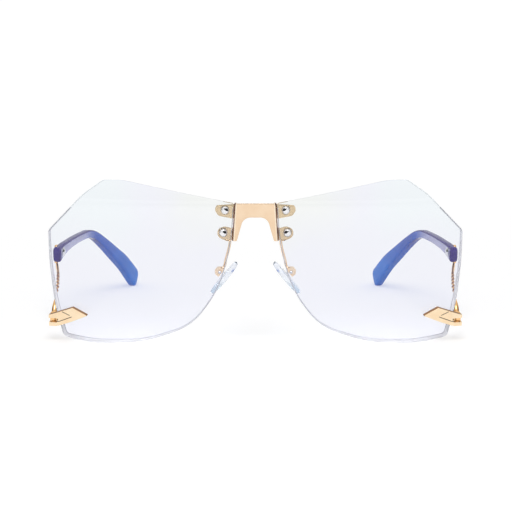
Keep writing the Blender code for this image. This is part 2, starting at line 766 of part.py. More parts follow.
def make_nose_pad(side, word, hinge):
    """The soft pad and the clear insert in its back, whose lug rocks in the box."""
    pad_frame = pad_axes(Vector((PAD_OUT, PAD_BACK, PAD_UP)))
    pin = pad_pin()
    rings = []
    for spread, height in PAD_RING_SHARES:
        ring = []
        for point in circle(1, PAD_SIDES):
            narrowing = 1 - PAD_TAPER_SHARE * point.x
            flat = Vector((point.x * PAD_LENGTH, point.y * PAD_WIDTH * narrowing, 0)) * (spread / 2)
            ring.append(pad_frame @ (flat + Vector((0, 0, height * PAD_THICKNESS))))
        rings.append(ring)
    pad = add("nose_pad_" + word, skinned(rings), "silicone", hinge, side)
    pad_rear = BOX_OFFSET - PAD_THICKNESS / 2

    def insert_plate(margin, low, high):
        corners = [(a * (INSERT_LENGTH / 2 + margin), b * (INSERT_WIDTH / 2 + margin), INSERT_WIDTH / 4)
                   for a, b in ((-1, -1), (1, -1), (1, 1), (-1, 1))]
        return prism(rounded_loop(corners), low, high, pad_frame)

    floor = INSERT_THICKNESS - PAD_THICKNESS / 2
    recess = insert_plate(BORE_GAP, -PAD_THICKNESS, floor + BORE_GAP)
    change(pad, "DIFFERENCE", "pad_recess_" + word, recess, side)
    half_lug = LUG_WIDTH / 2
    lug_end = pad_rear + INSERT_THICKNESS / 2
    lug_corners = ((-half_lug, -half_lug, half_lug), (half_lug, -half_lug, half_lug),
                   (half_lug, lug_end, 0), (-half_lug, lug_end, 0))
    lug = prism(rounded_loop(lug_corners), -LUG_THICKNESS / 2, LUG_THICKNESS / 2, pin)
    flat = insert_plate(0, -PAD_THICKNESS / 2, floor)
    insert = add("pad_insert_" + word, flat, "clear_plastic", hinge, side)
    change(insert, "UNION", "pad_lug_" + word, lug, side)
    drill(insert, "lug_bore_" + word, PAD_SCREW_SHANK, pin, side)


def plate_frame():
    """Axes of the hinge plate at its own point on the lens."""
    return lens_frame(PLATE_OUT, PLATE_UP)


def plate_screw_places():
    """Axes of the two screws that hold the hinge plate, on the lens's front face."""
    return {key: plate_frame() @ Matrix.Translation((a * PLATE_LENGTH, b * PLATE_HEIGHT, 0))
            for key, (a, b) in PLATE_SCREW_SHARES.items()}


def groove_loop(shares):
    """A narrow loop round an engraved line on the hinge plate."""
    points = [Vector((a * PLATE_LENGTH, b * PLATE_HEIGHT)) for a, b in shares]
    sides = [Vector((-(end - start).y, (end - start).x)).normalized() * (GROOVE_WIDTH / 2)
             for start, end in zip(points, points[1:])]
    sides = [sides[0], *[(a + b) / 2 for a, b in zip(sides, sides[1:])], sides[-1]]
    return ([point + off for point, off in zip(points, sides)]
            + [point - off for point, off in reversed(list(zip(points, sides)))])


def make_hinge_plate(side, word, body):
    """The engraved plate in front of the lens, its fork outside the lens and its posts behind."""
    frame = plate_frame()
    top = SEAT_GAP + PLATE_THICKNESS
    corners = shaped(PLATE_CORNER_SHARES, PLATE_LENGTH, PLATE_HEIGHT, PLATE_HEIGHT)
    solid = prism(rounded_loop(corners), SEAT_GAP, top, frame)
    plate = add("hinge_plate_" + word, solid, "champagne_gold", body, side)
    edge = plate.modifiers.new("edge", "BEVEL")
    edge.width = PLATE_EDGE
    edge.segments = 1
    edge.limit_method = "ANGLE"
    edge.angle_limit = EDGE_ANGLE

    inner = AXIS_OUT - BARREL / 2
    outer = AXIS_OUT + BARREL / 2
    rear = axis_back() + BARREL / 2
    front = axis_back() - DRILL_REACH
    fork_corners = ((inner, front, 0), (outer, front, 0),
                    (outer, rear, BARREL / 2), (inner, rear, BARREL / 2))
    fork = prism(rounded_loop(fork_corners), FORK_BOTTOM, FORK_BOTTOM + FORK_HEIGHT)
    face = frame @ Vector((0, 0, top - SEAT_GAP))
    cut = bmesh.ops.bisect_plane(fork, geom=[*fork.verts, *fork.edges, *fork.faces], plane_co=face,
                                 plane_no=frame.col[2].to_3d(), clear_outer=True)["geom_cut"]
    bmesh.ops.edgeloop_fill(fork, edges=[item for item in cut if isinstance(item, bmesh.types.BMEdge)])
    change(plate, "UNION", "fork_" + word, placed(fork, None), side)
    for key, place in plate_screw_places().items():
        post = prism(circle(POST / 2, BORE_SIDES), -LENS_THICKNESS, SEAT_GAP + PLATE_EDGE, place)
        change(plate, "UNION", f"post_{word}_{key}", post, side)
    slot_loop = rectangle(SLOT_OUT, front, outer + OVERRUN, rear + OVERRUN)
    slot = prism(slot_loop, SLOT_BOTTOM, SLOT_BOTTOM + SLOT_HEIGHT)
    change(plate, "DIFFERENCE", "slot_" + word, slot, side)
    drill(plate, "fork_bore_" + word, HINGE_SCREW_SHANK, axis_frame(), side)
    bore_end = PLATE_THICKNESS * POST_DEPTH_SHARE
    for key, place in plate_screw_places().items():
        drill(plate, f"post_bore_{word}_{key}", PLATE_SCREW_SHANK, place, side, -DRILL_REACH, bore_end)
    for key, shares in (("upper", UPPER_GROOVE_SHARES), ("lower", LOWER_GROOVE_SHARES)):
        groove = prism(groove_loop(shares), top - GROOVE_DEPTH, top + OVERRUN, frame)
        change(plate, "DIFFERENCE", f"groove_{word}_{key}", groove, side)
    a, b = PIN_HOLE_SHARE
    pin_place = frame @ Matrix.Translation((a * PLATE_LENGTH, b * PLATE_HEIGHT, 0))
    drill(plate, "pin_hole_" + word, PIN_HOLE, pin_place, side, top - PLATE_THICKNESS / 2, top + OVERRUN)

    fork_top = Matrix.Translation((AXIS_OUT, axis_back(), FORK_BOTTOM + FORK_HEIGHT + SEAT_GAP))
    screw = screw_profile(HINGE_SCREW_HEAD, HINGE_SCREW_RISE, HINGE_SCREW_SHANK, FORK_HEIGHT + SEAT_GAP)
    add("hinge_screw_" + word, turned(screw, SCREW_SIDES, fork_top), "champagne_gold", body, side)


def axis_back():
    """How far back the temple's hinge axis lies: behind the plate's own place on the lens."""
    return lens_sag(PLATE_OUT, PLATE_UP) + AXIS_BEHIND_PLATE


def axis_frame():
    """Upright axes on the temple's hinge axis."""
    return Matrix.Translation((AXIS_OUT, axis_back(), SLOT_BOTTOM))


def make_back_plate(side, word, body):
    """The small plate behind the lens and the two screws through it into the hinge plate's posts."""
    frame = plate_frame()
    sag = (PLATE_LENGTH * BACK_PLATE_SHARE / 2) ** 2 / 2 / (LENS_CURVE - LENS_THICKNESS)
    face = -LENS_THICKNESS - SEAT_GAP - sag
    corners = shaped(BACK_PLATE_CORNER_SHARES, PLATE_LENGTH, PLATE_HEIGHT, PLATE_HEIGHT)
    solid = prism(rounded_loop(corners), face - BACK_PLATE_THICKNESS, face, frame)
    plate = add("back_plate_" + word, solid, "champagne_gold", body, side)
    for key, place in plate_screw_places().items():
        drill(plate, f"back_plate_hole_{word}_{key}", PLATE_SCREW_SHANK, place, side)
        under_head = Matrix.Translation((0, 0, face - BACK_PLATE_THICKNESS - SEAT_GAP))
        seat = place @ under_head @ Matrix.Rotation(math.pi, 4, "X")
        length = SEAT_GAP - face + BACK_PLATE_THICKNESS
        screw = screw_profile(PLATE_SCREW_HEAD, PLATE_SCREW_RISE, PLATE_SCREW_SHANK, length)
        add(f"plate_screw_{word}_{key}", turned(screw, SCREW_SIDES, seat), "steel", body, side)


def section(centre, ahead, thickness, breadth, squareness, sides, ridge=(0, 0)):
    """A ring round a path: an oval or a rounded box across it, slid sideways along a ridge's wave."""
    outward = ahead.cross(Vector((0, 0, 1))).normalized()
    upward = outward.cross(ahead).normalized()
    power = 1 - squareness * SQUARE_POWER_SHARE
    height, phase = ridge
    ring = []
    for index in range(sides):
        turn = 2 * math.pi * (index + 0.5) / sides
        a = math.copysign(abs(math.cos(turn)) ** power, math.cos(turn))
        b = math.copysign(abs(math.sin(turn)) ** power, math.sin(turn))
        wave = height * math.sin(2 * math.pi * (phase + RIDGE_SLANT_SHARE * b))
        ring.append(centre + outward * (a * thickness / 2 + wave) + upward * (b * breadth / 2))
    return ring


def directions(centres):
    """The way ahead at each point of a path."""
    before = [centres[0], *centres[:-1]]
    after = [*centres[1:], centres[-1]]
    return [(end - start).normalized() for start, end in zip(before, after)]


def temple_rows():
    """Along the blade: the middle of its section, then its thickness and breadth."""
    rows = []
    for back, up, toe, thick, broad in TEMPLE_STATION_SHARES:
        thickness = TEMPLE_THICKNESS * thick
        out = TEMPLE_OUT - TEMPLE_TOE_IN * toe - thickness / 2
        rows.append((out, TEMPLE_FRONT + TEMPLE_REACH * back, TEMPLE_UP * up,
                     thickness, TEMPLE_BREADTH * broad))
    return [(row[0:3], row[3], row[4]) for row in through_spline(rows, TEMPLE_STEPS)]


def arm_seat():
    """Axes at the temple's screw, on the floor that the arm's plate lies on: back, up and outwards."""
    outer = [Vector(centre) + Vector((thickness / 2, 0, 0)) for centre, thickness, _ in temple_rows()]
    start, end = outer[0], next(point for point in outer if point.y >= RECESS_END)
    along = Vector((end.x - start.x, end.y - start.y, 0)).normalized()
    up = Vector((0, 0, 1))
    outward = along.cross(up)
    place = start + along * ((TEMPLE_SCREW_BACK - start.y) / along.y)
    place.z = TEMPLE_SCREW_UP
    return axes(place - outward * (ARM_PLATE_THICKNESS + SEAT_GAP), along, up, outward)


def arm_plate(margin, low, high):
    """The outline of the arm's plate, grown by a margin, as a solid on its seat."""
    corners = shaped(ARM_PLATE_CORNER_SHARES, ARM_PLATE_LENGTH, ARM_PLATE_HEIGHT, ARM_PLATE_HEIGHT)
    loop = rounded_loop(corners)
    ways = directions([loop[-1], *loop, loop[0]])[1:-1]
    grown = [point + Vector((-way.y, way.x)) * margin for point, way in zip(loop, ways)]
    return prism(grown, low, high, arm_seat())


def make_temple(side, word, hinge):
    """The acetate blade with its rounded ends, its recess and the screw that holds it to the arm."""
    rows = [(Vector(centre), thickness, breadth) for centre, thickness, breadth in temple_rows()]
    ways = directions([centre for centre, _, _ in rows])
    rings = []
    for (centre, thickness, breadth), ahead in zip(rows, ways):
        rings.append(section(centre, ahead, thickness, breadth, TEMPLE_SQUARENESS, TEMPLE_SIDES))
    for index, rounding, way in ((0, FRONT_ROUNDING, -1), (-1, TIP_ROUNDING, 1)):
        centre, thickness, breadth = rows[index]
        ends = []
        for step in range(1, END_STEPS + 1):
            turn = math.pi / 2 * step / END_STEPS
            inset = rounding * END_DEPTH_SHARE * (1 - math.cos(turn))
            shift = ways[index] * (way * rounding * math.sin(turn))
            ends.append(section(centre + shift, ways[index], thickness - inset * END_FLATNESS_SHARE * 2,
                                breadth - inset * 2, TEMPLE_SQUARENESS, TEMPLE_SIDES))
        rings = rings + ends if way > 0 else [*reversed(ends), *rings]
    temple = add("temple_" + word, skinned(rings), "violet_acetate", hinge, side)
    change(temple, "DIFFERENCE", "recess_" + word, arm_plate(BORE_GAP, 0, DRILL_REACH), side)
    seat = arm_seat()
    drill(temple, "temple_bore_" + word, TEMPLE_SCREW_SHANK, seat, side)
    depth = TEMPLE_THICKNESS * TEMPLE_STATION_SHARES[0][3] - ARM_PLATE_THICKNESS
    inside = seat @ Matrix.Translation((0, 0, -depth)) @ Matrix.Rotation(math.pi, 4, "X")
    length = depth + SEAT_GAP + ARM_PLATE_THICKNESS
    screw = screw_profile(TEMPLE_SCREW_HEAD, TEMPLE_SCREW_RISE, TEMPLE_SCREW_SHANK, length)
    add("temple_screw_" + word, turned(screw, SCREW_SIDES, inside), "steel", hinge, side)


def arm_rows():
    """Along the arm from the hinge: its middle, thickness, breadth and squareness of section."""
    start = axis_frame() @ Vector((0, 0, SLOT_HEIGHT / 2))
    end = Vector((TEMPLE_OUT - ARM_INSIDE_FACE, TEMPLE_SCREW_BACK, TEMPLE_SCREW_UP - ARM_UNDER_SCREW))
    way = end - start
    rows = []
    for back, up, out, thick, broad, square in ARM_STATION_SHARES:
        rows.append((start.x + way.x * out, start.y + way.y * back, start.z + way.z * up,
                     ARM_THICKNESS * thick, ARM_BREADTH * broad, square))
    return through_spline(rows, RIDGE_STEPS)


def make_temple_arm(side, word, hinge):
    """The metal arm: a bored knuckle, a horn that thins as it rises, ridges, and the flat plate."""
    rows = arm_rows()
    first, last = (station * RIDGE_STEPS for station in RIDGED_STATIONS)
    centres = [Vector(row[:3]) for row in rows]
    rings = []
    for index, (row, ahead) in enumerate(zip(rows, directions(centres))):
        share = (index - first) / (last - first)
        ridged = 0 <= share <= 1
        if not ridged and index % (RIDGE_STEPS // ARM_STEPS):
            continue
        fading = math.sin(math.pi * share) ** RIDGE_FADE_POWER if ridged else 0
        ridge = (row[3] * RIDGE_SHARE * fading, share * RIDGE_COUNT)
        rings.append(section(centres[index], ahead, row[3], row[4], row[5], ARM_SIDES, ridge))
    arm = add("temple_arm_" + word, skinned(rings), "champagne_gold", hinge, side)
    plate = arm_plate(0, SEAT_GAP, SEAT_GAP + ARM_PLATE_THICKNESS)
    change(arm, "UNION", "arm_plate_" + word, plate, side)
    knuckle = prism(circle(KNUCKLE / 2, BORE_SIDES), HINGE_GAP, SLOT_HEIGHT - HINGE_GAP, axis_frame())
    change(arm, "UNION", "knuckle_" + word, knuckle, side)
    drill(arm, "knuckle_bore_" + word, HINGE_SCREW_SHANK, axis_frame(), side)
    drill(arm, "arm_bore_" + word, TEMPLE_SCREW_SHANK, arm_seat(), side)


def settle(root):
    """Stand the glasses on the ground with the middle of their outer box over the origin."""
    bpy.context.view_layer.update()
    depsgraph = bpy.context.evaluated_depsgraph_get()
    corners = []
    for piece in bpy.data.objects:
        if piece.type in ("MESH", "CURVE") and not piece.hide_render:
            shape = piece.evaluated_get(depsgraph)
            corners += [shape.matrix_world @ vert.co for vert in shape.to_mesh().vertices]
            shape.to_mesh_clear()
    low, high = ([pick(corner[axis] for corner in corners) for axis in range(3)] for pick in (min, max))
    root.location = (-(low[0] + high[0]) / 2, -(low[1] + high[1]) / 2, -low[2])


def main():
    """Model the glasses: the fixed front, then each temple and each nose pad on its own pivot."""
    clear_scene()
    root = pivot("glasses", None, (0, 0, 0))
    body = pivot("front", root, (0, 0, 0))
    make_bridge(body)
    pin = pad_pin().translation
    for side, word in SIDES:
        make_lens(side, word, body)
        make_bridge_fasteners(side, word, body)
        make_hinge_plate(side, word, body)
        make_back_plate(side, word, body)
        make_pad_mount(side, word, body)
        pad_pivot = pivot("pad_pivot_" + word, root, (side * pin.x, pin.y, pin.z))
        make_nose_pad(side, word, pad_pivot)
        hinge = pivot("hinge_" + word, root, (side * AXIS_OUT, axis_back(), 0))
        make_temple_arm(side, word, hinge)
        make_temple(side, word, hinge)
    settle(root)


if __name__ == "__main__":
    main()
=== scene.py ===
"""Rimless glasses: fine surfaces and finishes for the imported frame, with a studio and a camera."""

import math

import bpy
import numpy as np
from bpy.props import FloatProperty, FloatVectorProperty, PointerProperty
from mathutils import Matrix, Vector
from mathutils.geometry import delaunay_2d_cdt


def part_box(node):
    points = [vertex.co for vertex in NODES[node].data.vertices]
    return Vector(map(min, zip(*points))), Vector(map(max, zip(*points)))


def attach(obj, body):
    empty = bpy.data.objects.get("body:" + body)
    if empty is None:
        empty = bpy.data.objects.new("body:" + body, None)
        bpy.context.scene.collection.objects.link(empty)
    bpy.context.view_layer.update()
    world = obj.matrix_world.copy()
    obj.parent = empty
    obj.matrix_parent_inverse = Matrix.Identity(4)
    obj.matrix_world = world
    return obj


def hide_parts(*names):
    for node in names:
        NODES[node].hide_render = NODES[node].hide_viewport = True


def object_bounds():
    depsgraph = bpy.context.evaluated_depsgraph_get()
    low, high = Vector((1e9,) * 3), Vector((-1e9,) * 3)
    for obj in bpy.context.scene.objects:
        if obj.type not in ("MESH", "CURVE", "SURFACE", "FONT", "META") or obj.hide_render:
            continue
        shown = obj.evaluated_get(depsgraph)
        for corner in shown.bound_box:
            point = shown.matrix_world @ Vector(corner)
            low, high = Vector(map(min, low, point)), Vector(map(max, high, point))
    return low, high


bl_info = {
    "name": "Rimless Glasses",
    "version": (1, 0, 0),
    "blender": (4, 5, 0),
    "location": "View3D > Sidebar > Glasses",
    "description": "Fine surfaces and finishes for a pair of rimless glasses",
    "category": "Add Mesh",
}

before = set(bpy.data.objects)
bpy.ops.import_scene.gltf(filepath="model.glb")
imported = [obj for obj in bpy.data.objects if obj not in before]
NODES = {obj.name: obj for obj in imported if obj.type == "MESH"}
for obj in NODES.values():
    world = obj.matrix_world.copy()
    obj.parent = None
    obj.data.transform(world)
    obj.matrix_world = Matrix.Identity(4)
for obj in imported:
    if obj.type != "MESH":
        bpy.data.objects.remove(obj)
CAD_BOX = [list(corner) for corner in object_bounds()]

SIDES = ((1, "left"), (-1, "right"))

# Angles above which an edge stays sharp, and above which an edge of the bridge's sheet is rounded
SHARP_ANGLE = math.radians(30)
SHEET_EDGE_ANGLE = math.radians(50)
# A length below which there is none, and the most of a side that the arc at one corner takes up
TINY = 1e-7
CORNER_REACH_SHARE = 0.48
# How far cutters pass a face that lies beside others, a whole piece, and the fork, in metres
PAST_FACE, PAST_PIECE, PAST_FORK = 0.001, 0.01, 0.1
# Fineness of the surfaces: longest sides and steps in metres, and counts of sides, rings and steps
LENS_SIDE = 0.0011
LENS_RINGS = 30
BRIDGE_SIDE = 0.0007
TAB_STEP = 0.0006
BRIDGE_STEP_UP = 0.0005
RIM_CLEARANCE = 0.00018
FOLD_LINES = 9
HOLE_SIDES, ROD_SIDES, TURNED_SIDES = 24, 32, 40
PAD_SCREW_SIDES, HINGE_SCREW_SIDES = 28, 32
EDGE_POINTS, DOME_POINTS = 4, 12
PAD_SIDES, PAD_STEPS = 64, 5
WIRE_SIDES, WIRE_STEPS = 24, 14
BLADE_SIDES, BLADE_STEPS, BLADE_END_RINGS = 56, 14, 12
ARM_SIDES, ARM_STEPS = 32, 26
FORK_STEP = math.radians(9)
# Share of the bridge's height that the rows of points run down over, past its lowest tab
ROWS_SHARE = 1.02

# Corners of a lens from the nose at the top, outwards and round: across and up, then the corner's
# radius, as shares of the lens width, its height and its height
LENS_CORNER_SHARES = (
    (0.000, 0.867, 0.012),
    (0.602, 1.003, 0.500),
    (0.697, 1.000, 0.035),
    (0.808, 0.913, 0.450),
    (1.001, 0.688, 0.045),
    (0.997, 0.492, 1.300),
    (0.975, 0.238, 1.300),
    (0.932, 0.028, 0.045),
    (0.771, -0.004, 1.000),
    (0.539, 0.012, 1.000),
    (0.431, 0.039, 0.600),
    (0.233, 0.118, 0.600),
    (0.079, 0.346, 1.000),
    (0.013, 0.631, 1.000),
)
# Heights, as shares of the lens's, where the rim stops leaning, over which that fades, and above
# which the edge's chamfers are polished clear
LEAN_TOP_SHARE = 0.72
LEAN_FADE_SHARE = 0.50
CLEAR_EDGE_SHARE = 0.84
# Tab outlines: along the tab and down from the bridge's top edge, then the corner's radius, as
# shares of the tab's length, the bridge's height and the tab's length
UPPER_TAB_SHARES = (
    (0.00, 0.045, 0.00),
    (0.92, 0.071, 0.12),
    (1.00, 0.205, 0.35),
    (0.78, 0.352, 0.25),
    (0.00, 0.431, 0.00),
)
LOWER_TAB_SHARES = (
    (0.00, 0.686, 0.00),
    (0.42, 0.634, 0.30),
    (0.78, 0.700, 0.36),
    (0.77, 0.910, 0.36),
    (0.40, 0.998, 0.30),
    (0.00, 1.008, 0.00),
)
# Shares of the bridge's first fold, as far as it has turned, where its painted highlight strip and its painted shade
# start
FOLD_HIGHLIGHT_SHARE = 0.10
FOLD_SHADE_SHARE = 0.45
# Nose pad rings from the back to the crown: spread, and height from the middle
PAD_RING_SHARES = (
    (0.80, -0.50),
    (0.95, -0.38),
    (1.00, -0.10),
    (0.93, 0.22),
    (0.75, 0.40),
    (0.45, 0.49),
    (0.10, 0.50),
)
# Pad wire from the tab down to the box: out, back and down. Its ends draw in over a share of its
# length, by a share of its section
WIRE_SHARES = (
    (0.00, 0.00, 0.00),
    (0.00, 0.01, 0.26),
    (0.28, 0.27, 0.51),
    (0.76, 0.72, 0.80),
    (1.00, 1.00, 1.00),
)
WIRE_END_SHARE = 0.012
WIRE_END_DRAW = 0.45
# Corner plate from its inner tip over the top: outwards and up from its own point on the lens, then
# the corner's radius
PLATE_CORNER_SHARES = (
    (-0.493, 0.154, 0.020),
    (-0.134, 0.495, 0.030),
    (0.278, 0.228, 0.100),
    (0.507, 0.092, 0.050),
    (0.478, -0.468, 0.090),
    (0.280, -0.428, 0.400),
    (0.003, -0.252, 0.400),
    (-0.253, -0.064, 0.400),
    (-0.480, 0.110, 0.020),
)
# On the plate, as shares of its length and height: the engraved lines, the pin hole and the posts,
# whose bores end within the plate at a share of its thickness; then the rounding of the fork's edges,
# in metres
GROOVE_SHARES = (
    ((0.150, 0.262), (-0.042, 0.105)),
    ((0.420, -0.262), (0.243, -0.201), (-0.088, 0.037)),
)
PIN_HOLE_SHARE = (0.302, -0.127)
POST_SHARES = ((-0.120, 0.080), (0.110, -0.040))
BORE_SHARE = 0.45
FORK_EDGE = 0.00012
# Domed screws and washers: brim over the rise, rounding over the brim, chamfer over the shank's width,
# and rounding over the washer's thickness
BRIM_SHARE = 0.22
BRIM_ROUND_SHARE = 0.3
SHANK_END_SHARE = 0.12
WASHER_EDGE_SHARE = 0.3
# Slot across a domed head, from its thin end: towards the nose and up, as shares of the head's width,
# and its floor as a share of the head's rise. The slot is cut, and its black floor also stands in for a painted dark
# reflection on the head
SLOT_FLOOR_SHARE = 0.45
SLOT_SHARES = ((-0.24, 0.28), (0.14, 0.34), (0.66, 0.22), (0.66, -0.10), (0.14, -0.06))
# Temple arm: back, up, out, thickness, breadth and squareness
ARM_STATION_SHARES = (
    (0.031, 0.000, 0.00, 0.96, 0.42, 0.6),
    (0.062, 0.004, 0.00, 0.98, 0.44, 0.5),
    (0.102, 0.060, 0.00, 1.00, 0.66, 0.3),
    (0.138, 0.178, 0.00, 0.90, 0.86, 0.1),
    (0.203, 0.323, -0.18, 0.58, 0.76, 0.1),
    (0.302, 0.453, -0.32, 0.34, 0.52, 0.2),
    (0.446, 0.564, -0.30, 0.33, 0.48, 0.4),
    (0.600, 0.660, -0.04, 0.34, 0.48, 0.5),
    (0.754, 0.744, 0.24, 0.40, 0.56, 0.5),
    (0.877, 0.786, 0.58, 0.46, 0.72, 0.5),
    (0.948, 0.831, 0.85, 0.44, 0.76, 0.6),
    (0.985, 0.900, 1.00, 0.36, 0.72, 0.6),
    (1.000, 1.000, 1.00, 0.30, 0.70, 0.6),
)
# Stations between which the arm is ridged, and the level of the ridges' wave below which is a valley with painted
# shade
RIDGED_STATIONS = (5, 8)
VALLEY_LEVEL = 0.3
# Arm's plate about its screw: back and up, as shares of its length and height, then the corner's
# radius, as a share of its height, and the rounding of its edges, as a share of its thickness
ARM_PLATE_EDGE_SHARE = 0.12
ARM_PLATE_CORNER_SHARES = (
    (-0.16, -0.59, 0.06),
    (-0.16, 0.41, 0.12),
    (0.17, 0.37, 0.40),
    (0.84, 0.20, 0.10),
    (0.84, -0.03, 0.10),
    (0.24, -0.34, 0.30),
    (0.15, -0.59, 0.06),
)
# Temple: back, height, toe-in, thickness and breadth
TEMPLE_STATION_SHARES = (
    (0.000, 0.925, 0.000, 0.79, 0.71),
    (0.077, 0.960, 0.048, 0.79, 0.56),
    (0.153, 0.978, 0.095, 0.82, 0.45),
    (0.278, 0.988, 0.172, 0.84, 0.40),
    (0.402, 0.988, 0.263, 0.87, 0.38),
    (0.478, 0.978, 0.330, 0.89, 0.40),
    (0.555, 0.920, 0.412, 0.92, 0.44),
    (0.660, 0.773, 0.533, 0.97, 0.54),
    (0.775, 0.583, 0.680, 1.00, 0.69),
    (0.890, 0.380, 0.840, 1.00, 0.84),
    (1.000, 0.133, 1.000, 0.95, 0.98),
)
# How far a section's power falls from round to square, the blade's squareness, and how much of its
# ends' rounding its thickness and its breadth draw in by
SQUARING = 0.7
BLADE_SQUARENESS = 0.75
THICKNESS_DRAW = 0.63
BREADTH_DRAW = 1.8

# Gold plating: its two tones, its roughness, and how much finer its brushing is upwards than across
PLATED = {
    "gold_satin": ("gold", "gold_cloud", 0.16, 5),
    # the bridge's plating, which plated() turns to a painted shade behind the lenses
    "gold_bridge": ("bridge", "bridge_cloud", 0.12, 5),
    # painted shade on the side of the bridge's first fold
    "fold_shade": ("fold", "fold", 0.3, 5),
    # painted highlight on a strip of that fold
    "fold_light": ("fold_light", "fold_light", 0.2, 5),
    # painted shade on the corner plates' edges, which darkens their highlight
    "gold_side": ("side", "side", 0.45, 5),
    "gold_wire": ("wire", "gold", 0.32, 1),
    "gold_warm": ("warm", "warm_cloud", 0.09, 1),
    # painted shade in the arms' valleys
    "gold_dark": ("dark", "dark", 0.22, 1),
}
# Steel, and floors of cuts: tone, level of its shade, scale of the mottling, scale and detail of the
# working marks, roughness from and to, and share of metal
WORKED = {
    "engraved": ("engraved", 0.55, 2400, 1800, 3, 0.55, 0.8, 0),
    # the slot's floor: a real cut, whose black also stands in for a painted dark reflection
    "slot": ("slot", 0.55, 2400, 1800, 3, 0.55, 0.8, 0),
    "polished_steel": ("steel", 0.9, 900, 4200, 4, 0.08, 0.144, 1),
    "bright_steel": ("dome", 0.9, 900, 4200, 4, 0.16, 0.288, 0.45),
}
# Clear plastic: tint, index of refraction, roughness, tint of its shadow, strength of its waviness and
# share of milk
CLEAR = {
    "lens_face": ("lens", 1.50, 0.0, (0.955, 0.96, 0.985), 0, 0),
    "lens_rim": ("rim", 1.50, 0.35, (0.85, 0.85, 0.87), 0.3, 0.45),
    "lens_chamfer": ("chamfer", 1.50, 0.30, (0.80, 0.80, 0.82), 0.3, 0.85),
    "washer_plastic": ("clear", 1.42, 0.02, (0.96, 0.96, 0.98), 0, 0),
    "pad_silicone": ("silicone", 1.28, 0.14, (0.86, 0.90, 0.98), 0.05, 0.06),
}
# Noise lies mostly between these two levels. Then its scales: clouds and brushing of the plating, drift
# of the lenses' tint, tone, polish and waves of clear plastic, marbling and polish of acetate, and paper
NOISE_SPAN = (0.3, 0.7)
CLOUD_SCALE, BRUSHING_SCALE = 240, 3200
DRIFT_SCALE = 45
PLASTIC_SCALE, POLISH_SCALE, WAVE_SCALE = 60, 1500, 700
MARBLE_SCALE, MARBLE_STRETCH, ACETATE_SCALE = 110, (1, 0.4, 1), 1300
PAPER_SCALE = 900
# What the noise changes: the greatest roughness over the least in plating and in plastic, power of the
# plastic's second tone, level of the paper's, strength and height of bumps, most marbling, and roughness
# of acetate from and to
PLATING_SPREAD, PLASTIC_SPREAD = 1.5, 1.6
PLASTIC_POWER, PAPER_LEVEL = 1.05, 0.985
BRUSHING_STRENGTH, BUMP_HEIGHT = 0.12, 0.00001
MOST_MARBLE = 0.22
ACETATE_ROUGHNESS = (0.09, 0.16)
# Places between which tones turn, in metres: from ahead of the lenses to behind them, where the bridge takes a
# painted shade, down the pads, up the lenses, and out to the cream and to the blue part of their tint, with that
# tint's unevenness
BEHIND_LENSES = (-0.0765, -0.0750)
PAD_LOW = (0.0245, 0.0190)
TINT_UP = (0.030, 0.054)
CREAM_OUT = (0.040, 0.018)
BLUE_OUT = (0.036, 0.056)
TINT_DRIFT = 0.004
# Places between which the temples' layers turn: along the blade, across its breadth and through its
# thickness, then the tint and the level of the light that they let through
TIP_PART = (0.62, 1.0)
MIDDLE_PART = (0.30, 0.60)
FRONT_END = (0.010, -0.002)
EDGE_FADE = (0.75, 0.50, 0.1, 1.0)
UPPER_EDGE = (0.56, 0.80)
LOWER_EDGE = (-0.86, -0.97)
OUTER_LAYER = (0.10, 0.45)
ACETATE_SHADOW = ((0.50, 0.64, 0.97), 0.75)
# Studio: how far under the glasses the floor lies, the distances from the lamp's foot over which its
# far end brightens, its colour in the light that it gives to matt surfaces, how far sideways the dark
# flags start and are full in gloss and in glass, and the film's width
FLOOR_DROP = 0.00001
FAR_FLOOR = (1.0, 2.5)
PLAIN_FLOOR = (0.82, 0.82, 0.83)
GLOSS_SIDES = (0.72, 0.94)
GLASS_SIDES = (0.55, 0.95)
SENSOR = 36


def length(name, default, description):
    """A size in metres that a user may change."""
    return FloatProperty(name=name, description=description, default=default, unit="LENGTH", precision=5)


def share(name, default, description):
    """A plain ratio that a user may change."""
    return FloatProperty(name=name, description=description, default=default, precision=3)


def angle(name, degrees, description):
    """An angle that a user may change."""
    return FloatProperty(name=name, description=description, default=math.radians(degrees), subtype="ANGLE")


def colour(name, rgb, description):
    """A colour, given from 0 to 255 as a screen shows it."""
    linear = [(part / 255 / 12.92) if part <= 10 else ((part / 255 + 0.055) / 1.055) ** 2.4 for part in rgb]
    return FloatVectorProperty(name=name, description=description, default=linear, size=3, subtype="COLOR",
                               min=0, max=1)


class LensSizes(bpy.types.PropertyGroup):
    """Sizes of the two lenses, whose front faces lie on one sphere."""

    width: length("Width", 0.0678, "Across one lens")
    height: length("Height", 0.061, "From the lowest to the highest point")
    spacing: length("Spacing", 0.0154, "Between the two lenses at the top")
    thickness: length("Thickness", 0.0022, "Through the lens")
    curve: length("Curve", 0.150, "Radius of the front face")
    axis_out: length("Axis out", 0.0197, "Foremost point, outwards from the middle")
    axis_up: length("Axis up", 0.04569, "Foremost point, above the ground")
    chamfer: length("Chamfer", 0.00022, "Ground edge between face and rim")
    bevel: length("Bevel", 0.00085, "How far the rim leans in at the lower outer corner")
    bevel_from: length("Bevel from", 0.036, "Distance from the axis at which the rim starts to lean")
    bevel_over: length("Bevel over", 0.026, "Distance over which the lean grows to its full size")


